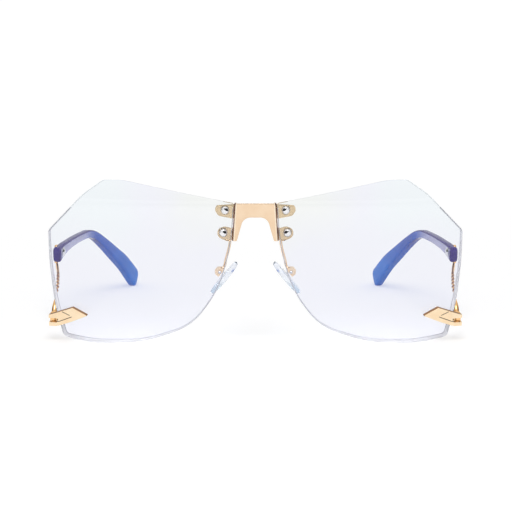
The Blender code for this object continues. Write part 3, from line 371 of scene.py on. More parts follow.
class BridgeSizes(bpy.types.PropertyGroup):
    """Sizes of the folded bridge and of the screws through its tabs."""

    sheet: length("Sheet", 0.0008, "Thickness of the metal")
    fold: length("Fold radius", 0.00065, "Radius of each fold at the middle of the sheet")
    front: length("Front", 0.0010, "Front face ahead of the lenses")
    top: length("Top", 0.052948, "Top edge above the ground")
    height: length("Height", 0.01355, "From the top edge to the bottom")
    leg: length("Leg", 0.00055, "Flat part of a leg at its bottom")
    leg_rounding: length("Leg rounding", 0.0003, "Radius at a leg's inner corner")
    arch_taper: length("Arch taper", 0.0018, "How far the arch closes in towards its top")
    arch_rise: length("Arch rise", 0.0085, "Height of the arch")
    arch_rounding: length("Arch rounding", 0.0030, "Radius at the arch's upper corners")
    slope: share("Side slope", 0.062, "How far the folds lean out for each unit down")
    tab_lean: angle("Tab lean", 3.2, "Lean of the tabs, which follow the lens")
    tab_length: length("Tab length", 0.00675, "Length of the tabs behind the lens")
    relief: length("Relief", 0.0004, "Width of the slits beside the folds")
    edge: length("Edge", 0.00012, "Rounding along the sheet's edges")
    gap: length("Gap", 0.0002, "Clearance between the fold and the lens edge")
    seat: length("Seat", 0.0001, "Clearance between pieces that touch")
    upper_out: length("Upper screw out", 0.01089, "Upper screw from the middle")
    upper_up: length("Upper screw up", 0.050348, "Upper screw above the ground")
    lower_out: length("Lower screw out", 0.01151, "Lower screw from the middle")
    lower_up: length("Lower screw up", 0.042298, "Lower screw above the ground")
    screw_head: length("Screw head", 0.0026, "Width of the domed heads")
    screw_rise: length("Screw rise", 0.00085, "Height of the domed heads")
    screw_shank: length("Screw shank", 0.0014, "Width of the shanks")
    washer_width: length("Washer width", 0.0030, "Outer width of the clear washers")
    washer_thickness: length("Washer thickness", 0.00035, "Thickness of the clear washers")
    nut_thickness: length("Nut thickness", 0.0011, "Thickness of the nuts")
    proud: length("Proud", 0.0003, "How far a shank passes its nut")


class PadSizes(bpy.types.PropertyGroup):
    """Sizes of the nose pads, their boxes and their wires."""

    length: length("Length", 0.0146, "Along the pad")
    width: length("Width", 0.0076, "Across the pad")
    thickness: length("Thickness", 0.0023, "Through the pad")
    out: length("Out", 0.01125, "Middle of the pad, from the middle of the glasses")
    back: length("Back", 0.0106, "Middle of the pad, behind the lenses' front")
    up: length("Up", 0.024458, "Middle of the pad, above the ground")
    lean: angle("Lean", 40, "Lean of the pad towards the nose at its top")
    taper: share("Taper", 0.12, "How much narrower the pad is at its top")
    box_offset: length("Box offset", 0.0029, "Screw of the box behind the pad's middle")
    box_shift: length("Box shift", 0.0007, "Screw of the box up along the pad")
    box_length: length("Box length", 0.0032, "Box along the pad")
    box_depth: length("Box depth", 0.0028, "Box along its screw")
    screw_head: length("Screw head", 0.0012, "Width of the pad screw's head")
    screw_rise: length("Screw rise", 0.0004, "Height of the pad screw's head")
    screw_shank: length("Screw shank", 0.0009, "Width of the pad screw's shank")
    insert_length: length("Insert length", 0.0060, "Plate in the pad's back, along the pad")
    insert_width: length("Insert width", 0.0036, "Plate in the pad's back, across the pad")
    insert_thickness: length("Insert thickness", 0.0006, "Thickness of that plate")
    wire: length("Wire", 0.0011, "Thickness of the pad wire")
    wire_out: length("Wire out", 0.0092, "Top end of the wire from the middle")
    wire_up: length("Wire up", 0.041798, "Top end of the wire above the ground")


class PlateSizes(bpy.types.PropertyGroup):
    """Sizes of the engraved corner plates and of the forks that they end in."""

    out: length("Out", 0.06811, "Plate's own point, from the middle")
    up: length("Up", 0.0099, "Plate's own point, above the ground")
    length: length("Length", 0.0152, "Along the plate")
    height: length("Height", 0.0083, "Across the plate")
    thickness: length("Thickness", 0.0014, "Through the plate")
    edge: length("Edge", 0.00022, "Rounding of the plate's edges")
    groove_width: length("Groove width", 0.00026, "Width of the engraved lines")
    groove_depth: length("Groove depth", 0.0003, "Depth of the engraved lines")
    pin_hole: length("Pin hole", 0.0007, "Width of the small hole in the face")
    barrel: length("Fork width", 0.0030, "Width of the fork round the hinge axis")
    slot_out: length("Slot out", 0.07296, "Inner end of the fork's slot from the middle")
    post: length("Post", 0.0019, "Width of the posts through the lens")
    bore: length("Bore", 0.0009, "Width of the bores in the posts")


class TempleSizes(bpy.types.PropertyGroup):
    """Sizes of the hinges, the ridged arms and the acetate temples."""

    axis_out: length("Hinge out", 0.07461, "Hinge axis from the middle")
    axis_back: length("Hinge back", 0.018012, "Hinge axis behind the lenses' front")
    fork_bottom: length("Fork bottom", 0.0059, "Fork's lower face above the ground")
    fork_height: length("Fork height", 0.0043, "Fork from its lower to its upper face")
    slot_bottom: length("Slot bottom", 0.00735, "Slot in the fork above the ground")
    slot_height: length("Slot height", 0.0016, "Height of the slot")
    hinge_gap: length("Hinge gap", 0.0001, "Clearance above and below the knuckle")
    knuckle: length("Knuckle", 0.0028, "Width of the arm's knuckle")
    pin_head: length("Hinge screw head", 0.0023, "Width of the hinge screw's head")
    pin_rise: length("Hinge screw rise", 0.0006, "Height of the hinge screw's head")
    pin_shank: length("Hinge screw shank", 0.0013, "Width of the hinge screw's shank")
    reach: length("Arm reach", 0.032488, "Arm from the hinge back to its plate")
    rise: length("Arm rise", 0.017803, "How far the arm rises")
    sweep: length("Arm sweep", 0.00159, "How far the arm runs outwards")
    thickness: length("Arm thickness", 0.0024, "Greatest thickness of the arm")
    breadth: length("Arm breadth", 0.0031, "Greatest breadth of the arm")
    ridges: share("Ridges", 6, "Number of slanting ridges on the arm")
    ridge_height: share("Ridge height", 0.26, "Height of a ridge as a share of the arm's thickness")
    ridge_slant: share("Ridge slant", 0.25, "How far a ridge leans, as a share of its pitch")
    plate_thickness: length("Plate thickness", 0.0009, "Arm's plate in the temple")
    plate_length: length("Plate length", 0.0092, "Length of that plate")
    plate_height: length("Plate height", 0.0071, "Height of that plate")
    front: length("Temple front", 0.0475, "Start of the temple behind the lenses' front")
    temple_reach: length("Temple reach", 0.1029, "Length of the temple")
    out: length("Temple out", 0.07715, "Outer face of the temple at its front end")
    up: length("Temple up", 0.0303, "Height that the temple's heights are shares of")
    toe_in: length("Toe-in", 0.0216, "How far the tip lies inwards")
    temple_thickness: length("Temple thickness", 0.0038, "Greatest thickness of the temple")
    temple_breadth: length("Temple breadth", 0.0082, "Greatest breadth of the temple")
    front_rounding: length("Front rounding", 0.0016, "Rounding of the temple's front end")
    tip_rounding: length("Tip rounding", 0.0041, "Rounding of the temple's tip")
    recess_end: length("Recess end", 0.0590, "Where the flat of the recess ends")
    screw_head: length("Screw head", 0.0037, "Width of the temple screw's head")
    screw_rise: length("Screw rise", 0.0009, "Height of the temple screw's head")
    screw_shank: length("Screw shank", 0.0015, "Width of the temple screw's shank")
    screw_back: length("Screw back", 0.0505, "Temple screw behind the lenses' front")
    screw_up: length("Screw up", 0.028603, "Temple screw above the ground")


class Finishes(bpy.types.PropertyGroup):
    """Colours of the glasses."""

    gold: colour("Gold", (251, 229, 196), "Plating of the corner plates and back plates")
    gold_cloud: colour("Gold, cloud", (248, 221, 184), "Slightly deeper tone in that plating")
    bridge: colour("Bridge gold", (234, 209, 180), "Plating of the bridge")
    bridge_cloud: colour("Bridge gold, cloud", (230, 202, 171), "Slightly deeper tone in that plating")
    # Painted shade on the side of the bridge's first fold, and a painted highlight on the strip before it
    fold: colour("Fold", (140, 92, 86), "Plating on the sides of the bridge's folds")
    fold_light: colour("Fold, light", (252, 234, 208), "Plating on the light strip of those folds")
    # Painted shade on the corner plates' edges and on the upper half of their front rounding
    side: colour("Gold, side", (158, 120, 88), "Plating on the corner plates' edges")
    # Black of the slot's floor, which also stands in for a painted dark reflection on the domed heads
    slot: colour("Slot", (24, 24, 26), "Floor of the slots in the domed screws")
    wire: colour("Wire gold", (253, 222, 186), "Plating of the pad wires and boxes")
    # Painted shade: the bridge's plating on its tabs, where they lie shaded behind the lenses
    shaded: colour("Gold, shaded", (226, 199, 162), "Plating of the tabs behind the lenses")
    # Painted shade in the valleys between the arm's ridges
    dark: colour("Dark gold", (150, 88, 62), "Plating in the valleys between the ridges")
    warm: colour("Warm gold", (252, 208, 150), "Plating of the arms and the hinge screws")
    warm_cloud: colour("Warm gold, cloud", (244, 190, 126), "Slightly deeper tone in that plating")
    engraved: colour("Engraved", (70, 42, 24), "Floor of the engraved lines and of the pin holes")
    steel: colour("Steel", (226, 227, 231), "Screws and nuts")
    dome: FloatVectorProperty(name="Dome", description="Domed bridge screws", default=(0.93, 0.93, 0.95), size=3,
                              subtype="COLOR", min=0, max=1)
    lens: colour("Lens", (241, 242, 249), "Tint of the lenses")
    lens_cream: colour("Lens, cream", (242, 244, 242), "Tint of the lenses near the bridge's top")
    lens_blue: colour("Lens, blue", (240, 245, 248), "Tint of the lenses in their upper outer part")
    rim: colour("Lens rim", (247, 247, 250), "Ground edge of the lenses")
    chamfer: colour("Lens chamfer", (196, 196, 204), "Fine lines along the lenses' edges")
    clear: colour("Clear plastic", (250, 251, 254), "Washers and pad inserts")
    silicone: colour("Silicone", (240, 243, 249), "Nose pads")
    silicone_low: colour("Silicone, low", (220, 240, 255), "Lower ends of the nose pads")
    acetate_edge: colour("Acetate, edge", (38, 6, 116), "Outer layer and edges of the temples")
    acetate_front: colour("Acetate, front", (194, 194, 232), "Inner layer of the temples by the hinge")
    acetate_mid: colour("Acetate, middle", (6, 86, 198), "Inner layer of the temples behind the bend")
    acetate_tip: colour("Acetate, tip", (0, 122, 224), "Inner layer of the temples at the tips")


class StudioSizes(bpy.types.PropertyGroup):
    """The camera, the floor, the light from all around and the lamp."""

    distance: length("Camera distance", 0.700, "Camera ahead of the lenses' front")
    camera_up: length("Camera height", 0.13103, "Camera above the ground")
    pitch: angle("Camera pitch", 7.9, "Camera's downward tilt")
    focal: share("Focal length", 3.8418, "Focal length over the picture's width")
    shift: share("Shift", 0.0012, "Sideways shift over the picture's width")
    floor: length("Floor size", 60.0, "Side of the floor")
    fill: share("Fill", 0.78, "Level of the light from all around")
    flag: share("Flag", 0.06, "Level of the dark sides in gloss")
    glass_flag: share("Flag in glass", 0.92, "Level of the dark sides through glass")
    glow: share("Floor glow", 0.34, "Floor's own level where it is seen")
    far: share("Far floor", 0.28, "What the far end of the floor adds to that level")
    paper: share("Floor paper", 0.70, "Share of the light that the seen floor scatters")
    key: share("Key", 14.0, "Power of the lamp above the camera, in watts")
    key_size: length("Key size", 0.8, "Side of that lamp")
    key_ahead: length("Key ahead", 1.2, "Lamp ahead of the glasses, and as high above the floor")


def sizes(kind):
    """The scene's values for lens, bridge, pad, plate, temple, finish or studio."""
    return getattr(bpy.context.scene, "glasses_" + kind)


def ground_shift():
    """From the glasses' own axes, with zero at the lenses' front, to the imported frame's."""
    low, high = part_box("bridge")
    bridge = sizes("bridge")
    return np.array([0, low[1] + bridge.front, high[2] - bridge.top])


# ---- Curves and outlines


def unit(rows):
    """Vectors scaled to a length of one."""
    return rows / np.linalg.norm(rows, axis=-1, keepdims=True)


def through(rows, steps):
    """Rows on a Catmull-Rom curve: each stretch between two rows is the cubic whose slope at a row is
    half the difference of its neighbours."""
    rows = np.asarray(rows, float)
    padded = np.concatenate([[2 * rows[0] - rows[1]], rows, [2 * rows[-1] - rows[-2]]])
    before, start, end, after = (padded[first:len(padded) - 3 + first, None] for first in range(4))
    t = (np.arange(steps) / steps)[None, :, None]
    pull, push = (end - before) / 2, (after - start) / 2
    curve = start + pull * t + (3 * (end - start) - 2 * pull - push) * t ** 2
    curve = curve + (2 * (start - end) + pull + push) * t ** 3
    return np.concatenate([curve.reshape(-1, rows.shape[1]), rows[-1:]])


def rounded(corners, step=math.radians(5)):
    """Closed flat outline: each corner (a, b, radius) becomes the arc that touches both its sides."""
    corners = np.asarray(corners, float)
    pieces = []
    for back, (a, b, radius), ahead in zip(np.roll(corners, 1, 0), corners, np.roll(corners, -1, 0)):
        corner = np.array([a, b])
        one, two = back[:2] - corner, ahead[:2] - corner
        long_one, long_two = np.hypot(*one), np.hypot(*two)
        one, two = one / long_one, two / long_two
        turn = math.pi - math.acos(max(-1, min(1, one @ two)))
        reach = min(radius * math.tan(turn / 2), min(long_one, long_two) * CORNER_REACH_SHARE)
        if reach < TINY:
            pieces.append(corner[None])
            continue
        arc = reach / math.tan(turn / 2)
        inward = (one + two) / np.hypot(*(one + two))
        centre = corner + inward * arc / math.cos(turn / 2)
        start = corner + one * reach - centre
        hand = 1 if two[0] * one[1] - two[1] * one[0] > 0 else -1
        turns = hand * turn * np.linspace(0, 1, max(3, math.ceil(turn / step)) + 1)
        cos, sin = np.cos(turns), np.sin(turns)
        pieces.append(centre + np.stack([cos * start[0] - sin * start[1], sin * start[0] + cos * start[1]], -1))
    return np.concatenate(pieces)


def finer(loop, longest):
    """The same closed outline with points added evenly so that no side is longer than `longest`."""
    ahead = np.roll(loop, -1, 0) - loop
    parts = np.maximum(1, np.ceil(np.hypot(*ahead.T) / longest)).astype(int)
    side = np.repeat(np.arange(len(loop)), parts)
    part = np.arange(parts.sum()) - np.repeat(np.cumsum(parts) - parts, parts)
    return loop[side] + ahead[side] * (part / parts[side])[:, None]


def inset(loop, distance):
    """The outline moved inwards: each point along the mean normal of its two sides."""
    ahead = unit(np.roll(loop, -1, 0) - loop)
    way = unit(ahead + np.roll(ahead, 1, 0))
    area = (loop[:, 0] * np.roll(loop[:, 1], -1) - loop[:, 1] * np.roll(loop[:, 0], -1)).sum()
    return loop + np.stack([-way[:, 1], way[:, 0]], -1) * distance * np.sign(area)


def circle(radius, sides):
    """Points round a circle."""
    turns = 2 * math.pi * np.arange(sides) / sides
    return radius * np.stack([np.cos(turns), np.sin(turns)], -1)


def shaped(shares, across, up, size, start=(0, 0)):
    """Corners at shares of a width and a height from a start, with radii as shares of a size."""
    return [(start[0] + a * across, start[1] + b * up, corner * size) for a, b, corner in shares]


# ---- Surfaces, each as its points and its faces


def shell(rows, start=None, end=None):
    """Closed surface: quads between neighbouring rows, and at each end a fan to a point, or one flat
    face if no point is given."""
    count, across = rows.shape[:2]
    index = np.arange(count * across).reshape(count, across)
    ahead = np.roll(index, -1, 1)
    faces = np.stack([index[:-1], ahead[:-1], ahead[1:], index[1:]], -1).reshape(-1, 4).tolist()
    verts = [rows.reshape(-1, 3)]
    total = count * across
    for point, row, following, way in ((start, ahead[0], index[0], -1), (end, index[-1], ahead[-1], 1)):
        if point is None:
            faces.append(row[::way].tolist())
            continue
        verts.append(np.asarray(point, float)[None])
        faces += np.stack([row, following, np.full(across, total)], -1).tolist()
        total += 1
    return np.concatenate(verts), faces


def raised(loop, profile):
    """Copies of a flat loop, one for each row of a profile: spread by its first value and lifted to
    its second."""
    return np.concatenate([profile[:, None, :1] * loop[None], np.repeat(profile[:, None, 1:], len(loop), 1)], -1)


def turned(profile, sides):
    """Turns a profile of (radius, height) about the third axis; a profile that returns to its start
    makes a ring, and one that ends on the axis is closed by a fan."""
    profile = np.asarray(profile, float)
    rows = raised(circle(1, sides), profile)
    if profile[0, 0] > 0:
        index = np.arange(len(profile) * sides).reshape(-1, sides)
        ahead, below = np.roll(index, -1, 1), np.roll(index, -1, 0)
        faces = np.stack([index, ahead, np.roll(below, -1, 1), below], -1).reshape(-1, 4).tolist()
        return rows.reshape(-1, 3), faces
    return shell(rows[1:-1], rows[0, 0], rows[-1, 0])


def slab(loop, low, high, edge=0.0):
    """A flat plate between two heights, its edges rounded by quarter circles of radius `edge`."""
    turns = np.linspace(0, math.pi / 2, EDGE_POINTS) if edge else np.zeros(1)
    levels = [(low + edge * (1 - math.cos(turn)), edge * (1 - math.sin(turn))) for turn in turns]
    levels += [(low + high - height, side) for height, side in reversed(levels)]
    rows = [np.column_stack([inset(loop, side), np.full(len(loop), height)]) for height, side in levels]
    return shell(np.array(rows))


def rod(width, low, high):
    """A plain round rod along the third axis, to bore with or to join."""
    return turned([(0, low), (width / 2, low), (width / 2, high), (0, high)], ROD_SIDES)


def bore(width, high=PAST_PIECE):
    """A rod that bores a hole for a shank of this width, with clearance all round it."""
    return rod(width + sizes("bridge").seat * 2, -PAST_PIECE, high)


# ---- Meshes


def mesh_object(name, verts, faces, kinds=0, finishes=()):
    """A mesh object at the origin. A face's kind is the number of its finish."""
    mesh = bpy.data.meshes.new(name)
    mesh.from_pydata(verts.tolist(), [], faces)
    for finish in finishes:
        mesh.materials.append(material(finish))
    mesh.polygons.foreach_set("material_index", np.zeros(len(faces), int) + kinds)
    mesh.update()
    return linked(name, mesh)


def linked(name, data):
    """An object in the scene for a mesh, a lamp or a camera."""
    made = bpy.data.objects.new(name, data)
    bpy.context.scene.collection.objects.link(made)
    return made


def build(surface, place=None, kinds=0, finishes=(), name="draft"):
    """A mesh object from a surface, carried into a frame if one is given. Its faces point outwards:
    they are turned if the volume that they enclose, a sixth of the sum of their triangles' triple
    products, is negative."""
    verts, faces = surface
    if place is not None:
        matrix = np.array(place)
        verts = verts @ matrix[:3, :3].T + matrix[:3, 3]
    fans = [(face[0], face[i], face[i + 1]) for face in faces for i in range(1, len(face) - 1)]
    a, b, c = (verts[np.array(fans)[:, i]] for i in range(3))
    if (a * np.cross(b, c)).sum() < 0:
        faces = [face[::-1] for face in faces]
    return mesh_object(name, verts, faces, kinds, finishes)


def combine(piece, operation, surface, place=None, kind=0):
    """Adds a boolean step to the piece with another closed surface; the new faces get that kind."""
    step = piece.modifiers.new(operation, "BOOLEAN")
    step.operation = operation
    step.solver = "EXACT"
    step.object = build(surface, place, kind)


def settled(piece):
    """The piece's mesh once its modifiers are applied and its cutters removed."""
    bpy.context.view_layer.update()
    mesh = bpy.data.meshes.new_from_object(piece.evaluated_get(bpy.context.evaluated_depsgraph_get()))
    for modifier in piece.modifiers:
        if modifier.type == "BOOLEAN":
            bpy.data.objects.remove(modifier.object)
    piece.modifiers.clear()
    piece.data = mesh
    return mesh


def points_of(mesh):
    """Where the points of a mesh lie."""
    points = np.empty(len(mesh.vertices) * 3)
    mesh.vertices.foreach_get("co", points)
    return points.reshape(-1, 3)


def finished(piece, body, node):
    """Shades a piece smoothly, with sharp edges where faces meet at a clear angle, parents it to the
    empty of what it rides on, and hides the imported node that it stands for."""
    piece.data.shade_smooth()
    piece.data.set_sharp_from_angle(angle=SHARP_ANGLE)
    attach(piece, body)
    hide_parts(node)


def both_sides(draft, name, body, node):
    """Two finished pieces from one shape made for the wearer's left: as it is, and mirrored. Points
    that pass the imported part's box by a few hundredths of a millimetre are set back on to it."""
    mesh = settled(draft)
    verts = points_of(mesh)
    faces = [list(polygon.vertices) for polygon in mesh.polygons]
    kinds = np.empty(len(faces), int)
    mesh.polygons.foreach_get("material_index", kinds)
    finishes = [held.name for held in mesh.materials]
    bpy.data.objects.remove(draft)
    made = []
    for side, word in SIDES:
        mirrored = np.clip(verts * (side, 1, 1) + ground_shift(), *CAD_BOX)
        piece = build((mirrored, faces), None, kinds, finishes, f"{name}_{word}")
        finished(piece, body.format(word), node.format(word))
        made.append(piece)
    return made


def repaint(node, finish):
    """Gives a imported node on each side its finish."""
    for _, word in SIDES:
        for held in NODES[node.format(word)].material_slots:
            held.material = material(finish)


# ---- Nodes


def put(tree, socket, value):
    """Fills a socket from another node's output, or with a number or a colour."""
    if isinstance(value, bpy.types.NodeSocket):
        tree.links.new(value, socket)
    else:
        socket.default_value = (*value, 1) if socket.type == "RGBA" else value


def fill(tree, node, **values):
    """Fills a node's sockets by name; a key that names no socket is one of the node's settings."""
    for key, value in values.items():
        socket = node.inputs.get(key.replace("_", " ").title().replace("Ior", "IOR"))
        if socket is None:
            setattr(node, key, value)
        else:
            put(tree, socket, value)
    return node


def add(tree, kind, **values):
    """A new shader node, filled."""
    return fill(tree, tree.nodes.new("ShaderNode" + kind), **values)


def graph(name):
    """A new material with its node tree, its Principled shader and its output."""
    made = bpy.data.materials.new(name)
    made.use_nodes = True
    tree = made.node_tree
    return made, tree, tree.nodes["Principled BSDF"], tree.nodes["Material Output"]


def grain(tree, scale, stretch=(1, 1, 1), detail=3.0, roughness=0.55):
    """Noise on object coordinates, stretched along the axes by a mapping."""
    where = add(tree, "TexCoord").outputs["Object"]
    mapped = add(tree, "Mapping", scale=stretch, vector=where).outputs["Vector"]
    return add(tree, "TexNoise", scale=scale, detail=detail, roughness=roughness, vector=mapped).outputs["Fac"]


def ranged(tree, value, low, high, first=0.0, last=1.0):
    """A value eased from one range on to another."""
    return add(tree, "MapRange", interpolation_type="SMOOTHSTEP", value=value, from_min=low, from_max=high,
               to_min=first, to_max=last).outputs["Result"]


def between(tree, noise, low, high):
    """Noise carried from the levels that it mostly has on to a range."""
    return ranged(tree, noise, *NOISE_SPAN, low, high)


def calculated(tree, operation, first, second=0.0):
    """The result of one sum on two values, each a socket or a number."""
    made = add(tree, "Math", operation=operation)
    for socket, value in zip(made.inputs, (first, second)):
        put(tree, socket, value)
    return made.outputs["Value"]


def mixed(tree, factor, first, second, kind="RGBA"):
    """Two colours, or two numbers where the kind is FLOAT, mixed by a factor."""
    mix = add(tree, "Mix", data_type=kind)
    held = "VALUE" if kind == "FLOAT" else kind
    ends = [socket for socket in mix.inputs if socket.type == held and socket.name in ("A", "B")]
    for socket, value in zip((mix.inputs["Factor"], *ends), (factor, first, second)):
        put(tree, socket, value)
    return next(socket for socket in mix.outputs if socket.type == held)


def mixed_shaders(tree, factor, first, second):
    """Two shaders mixed by a factor."""
    mix = add(tree, "MixShader", fac=factor)
    for socket, shader in zip(mix.inputs[1:], (first, second)):
        put(tree, socket, shader)
    return mix.outputs["Shader"]


def rays(tree, kind):
    """One for rays of a kind, and zero for the rest."""
    return add(tree, "LightPath").outputs[f"Is {kind} Ray"]


def place_along(tree, axis, space="Object"):
    """How far along an axis of its coordinates a point lies."""
    return add(tree, "SeparateXYZ", vector=add(tree, "TexCoord").outputs[space]).outputs[axis]


def bump(tree, shader, height, strength):
    """A bump from a height, into the shader's normal."""
    fill(tree, shader, normal=add(tree, "Bump", strength=strength, distance=BUMP_HEIGHT,
                                  height=height).outputs["Normal"])


def shadow_tint(tree, shader, output, tint, part=1.0):
    """Lets light of a tint through to what the piece shades, for that part of each shadow ray."""
    through_it = add(tree, "BsdfTransparent", color=tint).outputs["BSDF"]
    shaded = calculated(tree, "MULTIPLY", rays(tree, "Shadow"), part)
    fill(tree, output, surface=mixed_shaders(tree, shaded, shader.outputs["BSDF"], through_it))


# ---- Finishes


def plated(name, tone, cloud, rough, brushing):
    """Gold plating: two close tones, cloudy polish and fine brushing. The bridge turns to a painted shade
    behind the lenses."""
    colours = sizes("finish")
    made, tree, shader, _ = graph(name)
    clouds = between(tree, grain(tree, CLOUD_SCALE, detail=4), 0, 1)
    base = mixed(tree, clouds, getattr(colours, tone), getattr(colours, cloud))
    if name == "gold_bridge":
        # Painted shade on the tabs behind the lenses
        base = mixed(tree, ranged(tree, place_along(tree, "Y"), *BEHIND_LENSES), base, colours.shaded)
    fine = grain(tree, BRUSHING_SCALE, (1, 1, brushing), detail=4)
    fill(tree, shader, base_color=base, metallic=1, roughness=between(tree, fine, rough, rough * PLATING_SPREAD))
    bump(tree, shader, fine, BRUSHING_STRENGTH)
    return made


def worked(name, tone, shade, mottling, marks, detail, rough, rougher, metal):
    """Steel, or the dark floor of a cut: a tone and a shade of it, mottled, and an uneven polish."""
    tone = getattr(sizes("finish"), tone)
    made, tree, shader, _ = graph(name)
    base = mixed(tree, between(tree, grain(tree, mottling), 0, 1), tone, [part * shade for part in tone])
    polish = between(tree, grain(tree, marks, detail=detail), rough, rougher)
    fill(tree, shader, base_color=base, metallic=metal, roughness=polish)
    return made


def lens_tint(tree):
    """Tint over a lens: lavender, with cream near the bridge's top and blue in the upper outer part,
    blended by the place on the lens and broken up a little by noise."""
    colours = sizes("finish")
    drift = between(tree, grain(tree, DRIFT_SCALE, detail=2), -TINT_DRIFT, TINT_DRIFT)
    out, up = (calculated(tree, "ADD", value, drift) for value in
               (calculated(tree, "ABSOLUTE", place_along(tree, "X")), place_along(tree, "Z")))
    high = ranged(tree, up, *TINT_UP)
    cream, blue = (calculated(tree, "MULTIPLY", high, ranged(tree, out, *reach)) for reach in (CREAM_OUT, BLUE_OUT))
    return mixed(tree, cream, mixed(tree, blue, colours.lens, colours.lens_blue), colours.lens_cream)


def clear(name, tone, ior, rough, shadow, wave, milk):
    """Clear plastic that bends light, with a share of milk that scatters it, and that lets most light
    through to the floor. The lenses' faces have their own tint, and the pads' turns bluer low down."""
    colours = sizes("finish")
    made, tree, shader, output = graph(name)
    tint = getattr(colours, tone)
    if name == "lens_face":
        base = lens_tint(tree)
    else:
        uneven = between(tree, grain(tree, PLASTIC_SCALE), 0, 1)
        base = mixed(tree, uneven, tint, [part ** PLASTIC_POWER for part in tint])
    if name == "pad_silicone":
        base = mixed(tree, ranged(tree, place_along(tree, "Z"), *PAD_LOW), base, colours.silicone_low)
    fill(tree, shader, base_color=base, transmission_weight=1 - milk, ior=ior,
         roughness=between(tree, grain(tree, POLISH_SCALE, detail=4), rough, rough * PLASTIC_SPREAD))
    if wave:
        bump(tree, shader, grain(tree, WAVE_SCALE, detail=2), wave)
    shadow_tint(tree, shader, output, shadow)
    return made


def acetate(name):
    """Layered acetate: dark violet outside and along the edges, milky lavender to blue inside, with
    faint marbling. Where a point lies on the blade is read from three attributes of the mesh."""
    colours = sizes("finish")
    made, tree, shader, output = graph(name)
    layer, rim, along = (add(tree, "Attribute", attribute_name=key).outputs["Fac"]
                         for key in ("layer", "rim", "along"))
    marble = grain(tree, MARBLE_SCALE, MARBLE_STRETCH, detail=5, roughness=0.6)
    inner = mixed(tree, ranged(tree, along, *TIP_PART), colours.acetate_mid, colours.acetate_tip)
    inner = mixed(tree, ranged(tree, along, *MIDDLE_PART), colours.acetate_front, inner)
    inner = mixed(tree, between(tree, marble, 0.0, MOST_MARBLE), inner, colours.acetate_edge)
    edge = calculated(tree, "MAXIMUM", ranged(tree, rim, *UPPER_EDGE), ranged(tree, rim, *LOWER_EDGE))
    edge = calculated(tree, "MAXIMUM", edge, ranged(tree, layer, *OUTER_LAYER))
    edge = calculated(tree, "MULTIPLY", edge, ranged(tree, along, *EDGE_FADE))
    edge = calculated(tree, "MAXIMUM", edge, ranged(tree, along, *FRONT_END))
    fill(tree, shader, base_color=mixed(tree, edge, inner, colours.acetate_edge),
         roughness=between(tree, grain(tree, ACETATE_SCALE), *ACETATE_ROUGHNESS), specular_ior_level=0.05,
         subsurface_weight=0.15, subsurface_radius=(0.5, 0.7, 1.0), subsurface_scale=0.001,
         coat_weight=0.02, coat_roughness=0.05)
    shadow_tint(tree, shader, output, *ACETATE_SHADOW)
    return made


def floor_paper(name):
    """White to the camera and in glass and metal, with a share of real shadow; its paper grain is far
    below the white level."""
    studio = sizes("studio")
    made, tree, shader, output = graph(name)
    tree.nodes.remove(shader)
    tones = [(level,) * 3 for level in (studio.paper, studio.paper * PAPER_LEVEL)]
    paper = add(tree, "BsdfDiffuse", color=mixed(tree, between(tree, grain(tree, PAPER_SCALE), 0, 1), *tones))
    away = add(tree, "VectorMath", operation="DISTANCE")
    put(tree, away.inputs[0], add(tree, "TexCoord").outputs["Object"])
    put(tree, away.inputs[1], (0, -studio.key_ahead, 0))
    rise = calculated(tree, "MULTIPLY", ranged(tree, away.outputs["Value"], *FAR_FLOOR), studio.far)
    glow = add(tree, "Emission", strength=calculated(tree, "ADD", rise, studio.glow))
    both = add(tree, "AddShader")
    put(tree, both.inputs[0], glow.outputs["Emission"])
    put(tree, both.inputs[1], paper.outputs["BSDF"])
    bent = calculated(tree, "MAXIMUM", rays(tree, "Glossy"), rays(tree, "Transmission"))
    seen = calculated(tree, "MAXIMUM", rays(tree, "Camera"), bent)
    plain = add(tree, "BsdfDiffuse", color=PLAIN_FLOOR).outputs["BSDF"]
    fill(tree, output, surface=mixed_shaders(tree, seen, plain, both.outputs["Shader"]))
    return made


def material(name):
    """A finish by name, made when it is first asked for."""
    known = bpy.data.materials.get(name)
    if known:
        return known
    for maker, table in ((plated, PLATED), (worked, WORKED), (clear, CLEAR)):
        if name in table:
            return maker(name, *table[name])
    return {"layered_acetate": acetate, "pale_floor": floor_paper}[name](name)


# ---- Shapes of the glasses


def axes(place, first, second, third):
    """The matrix of a frame from its origin and its three axes."""
    return Matrix.Translation(place) @ Matrix((first, second, third)).transposed().to_4x4()


def lifted(distance):
    """A move along a frame's third axis."""
    return Matrix.Translation((0, 0, distance))


def lens_sag(out, up):
    """Depth of the front face behind its foremost plane: the sphere's radius less the height of the
    sphere over that place."""
    lens = sizes("lens")
    return lens.curve - np.sqrt(lens.curve ** 2 - (out - lens.axis_out) ** 2 - (up - lens.axis_up) ** 2)


def on_lens(flat, depth):
    """Flat places (out, up) on the front sphere, moved `depth` towards its centre."""
    lens = sizes("lens")
    centre = np.array([lens.axis_out, lens.curve, lens.axis_up])
    front = np.stack([flat[..., 0], lens_sag(flat[..., 0], flat[..., 1]), flat[..., 1]], -1)
    return centre + (front - centre) * (1 - depth / lens.curve)


def lens_frame(out, up):
    """Axes on the lens's front face: outwards, up along it, and forwards off it."""
    lens = sizes("lens")
    place = Vector((out, float(lens_sag(out, up)), up))
    forward = (place - Vector((lens.axis_out, lens.curve, lens.axis_up))).normalized()
    outward = Vector((0, 0, 1)).cross(forward).normalized()
    return axes(place, outward, forward.cross(outward), forward)


def plate_place(a=0.0, b=0.0):
    """Axes at a place on the corner plate, on the lens's front face under it."""
    plate = sizes("plate")
    return lens_frame(plate.out, plate.up) @ Matrix.Translation((a * plate.length, b * plate.height, 0))


def hinge_place(up):
    """Axes on the hinge's axis, at a height."""
    temple = sizes("temple")
    return Matrix.Translation((temple.axis_out, temple.axis_back, up))


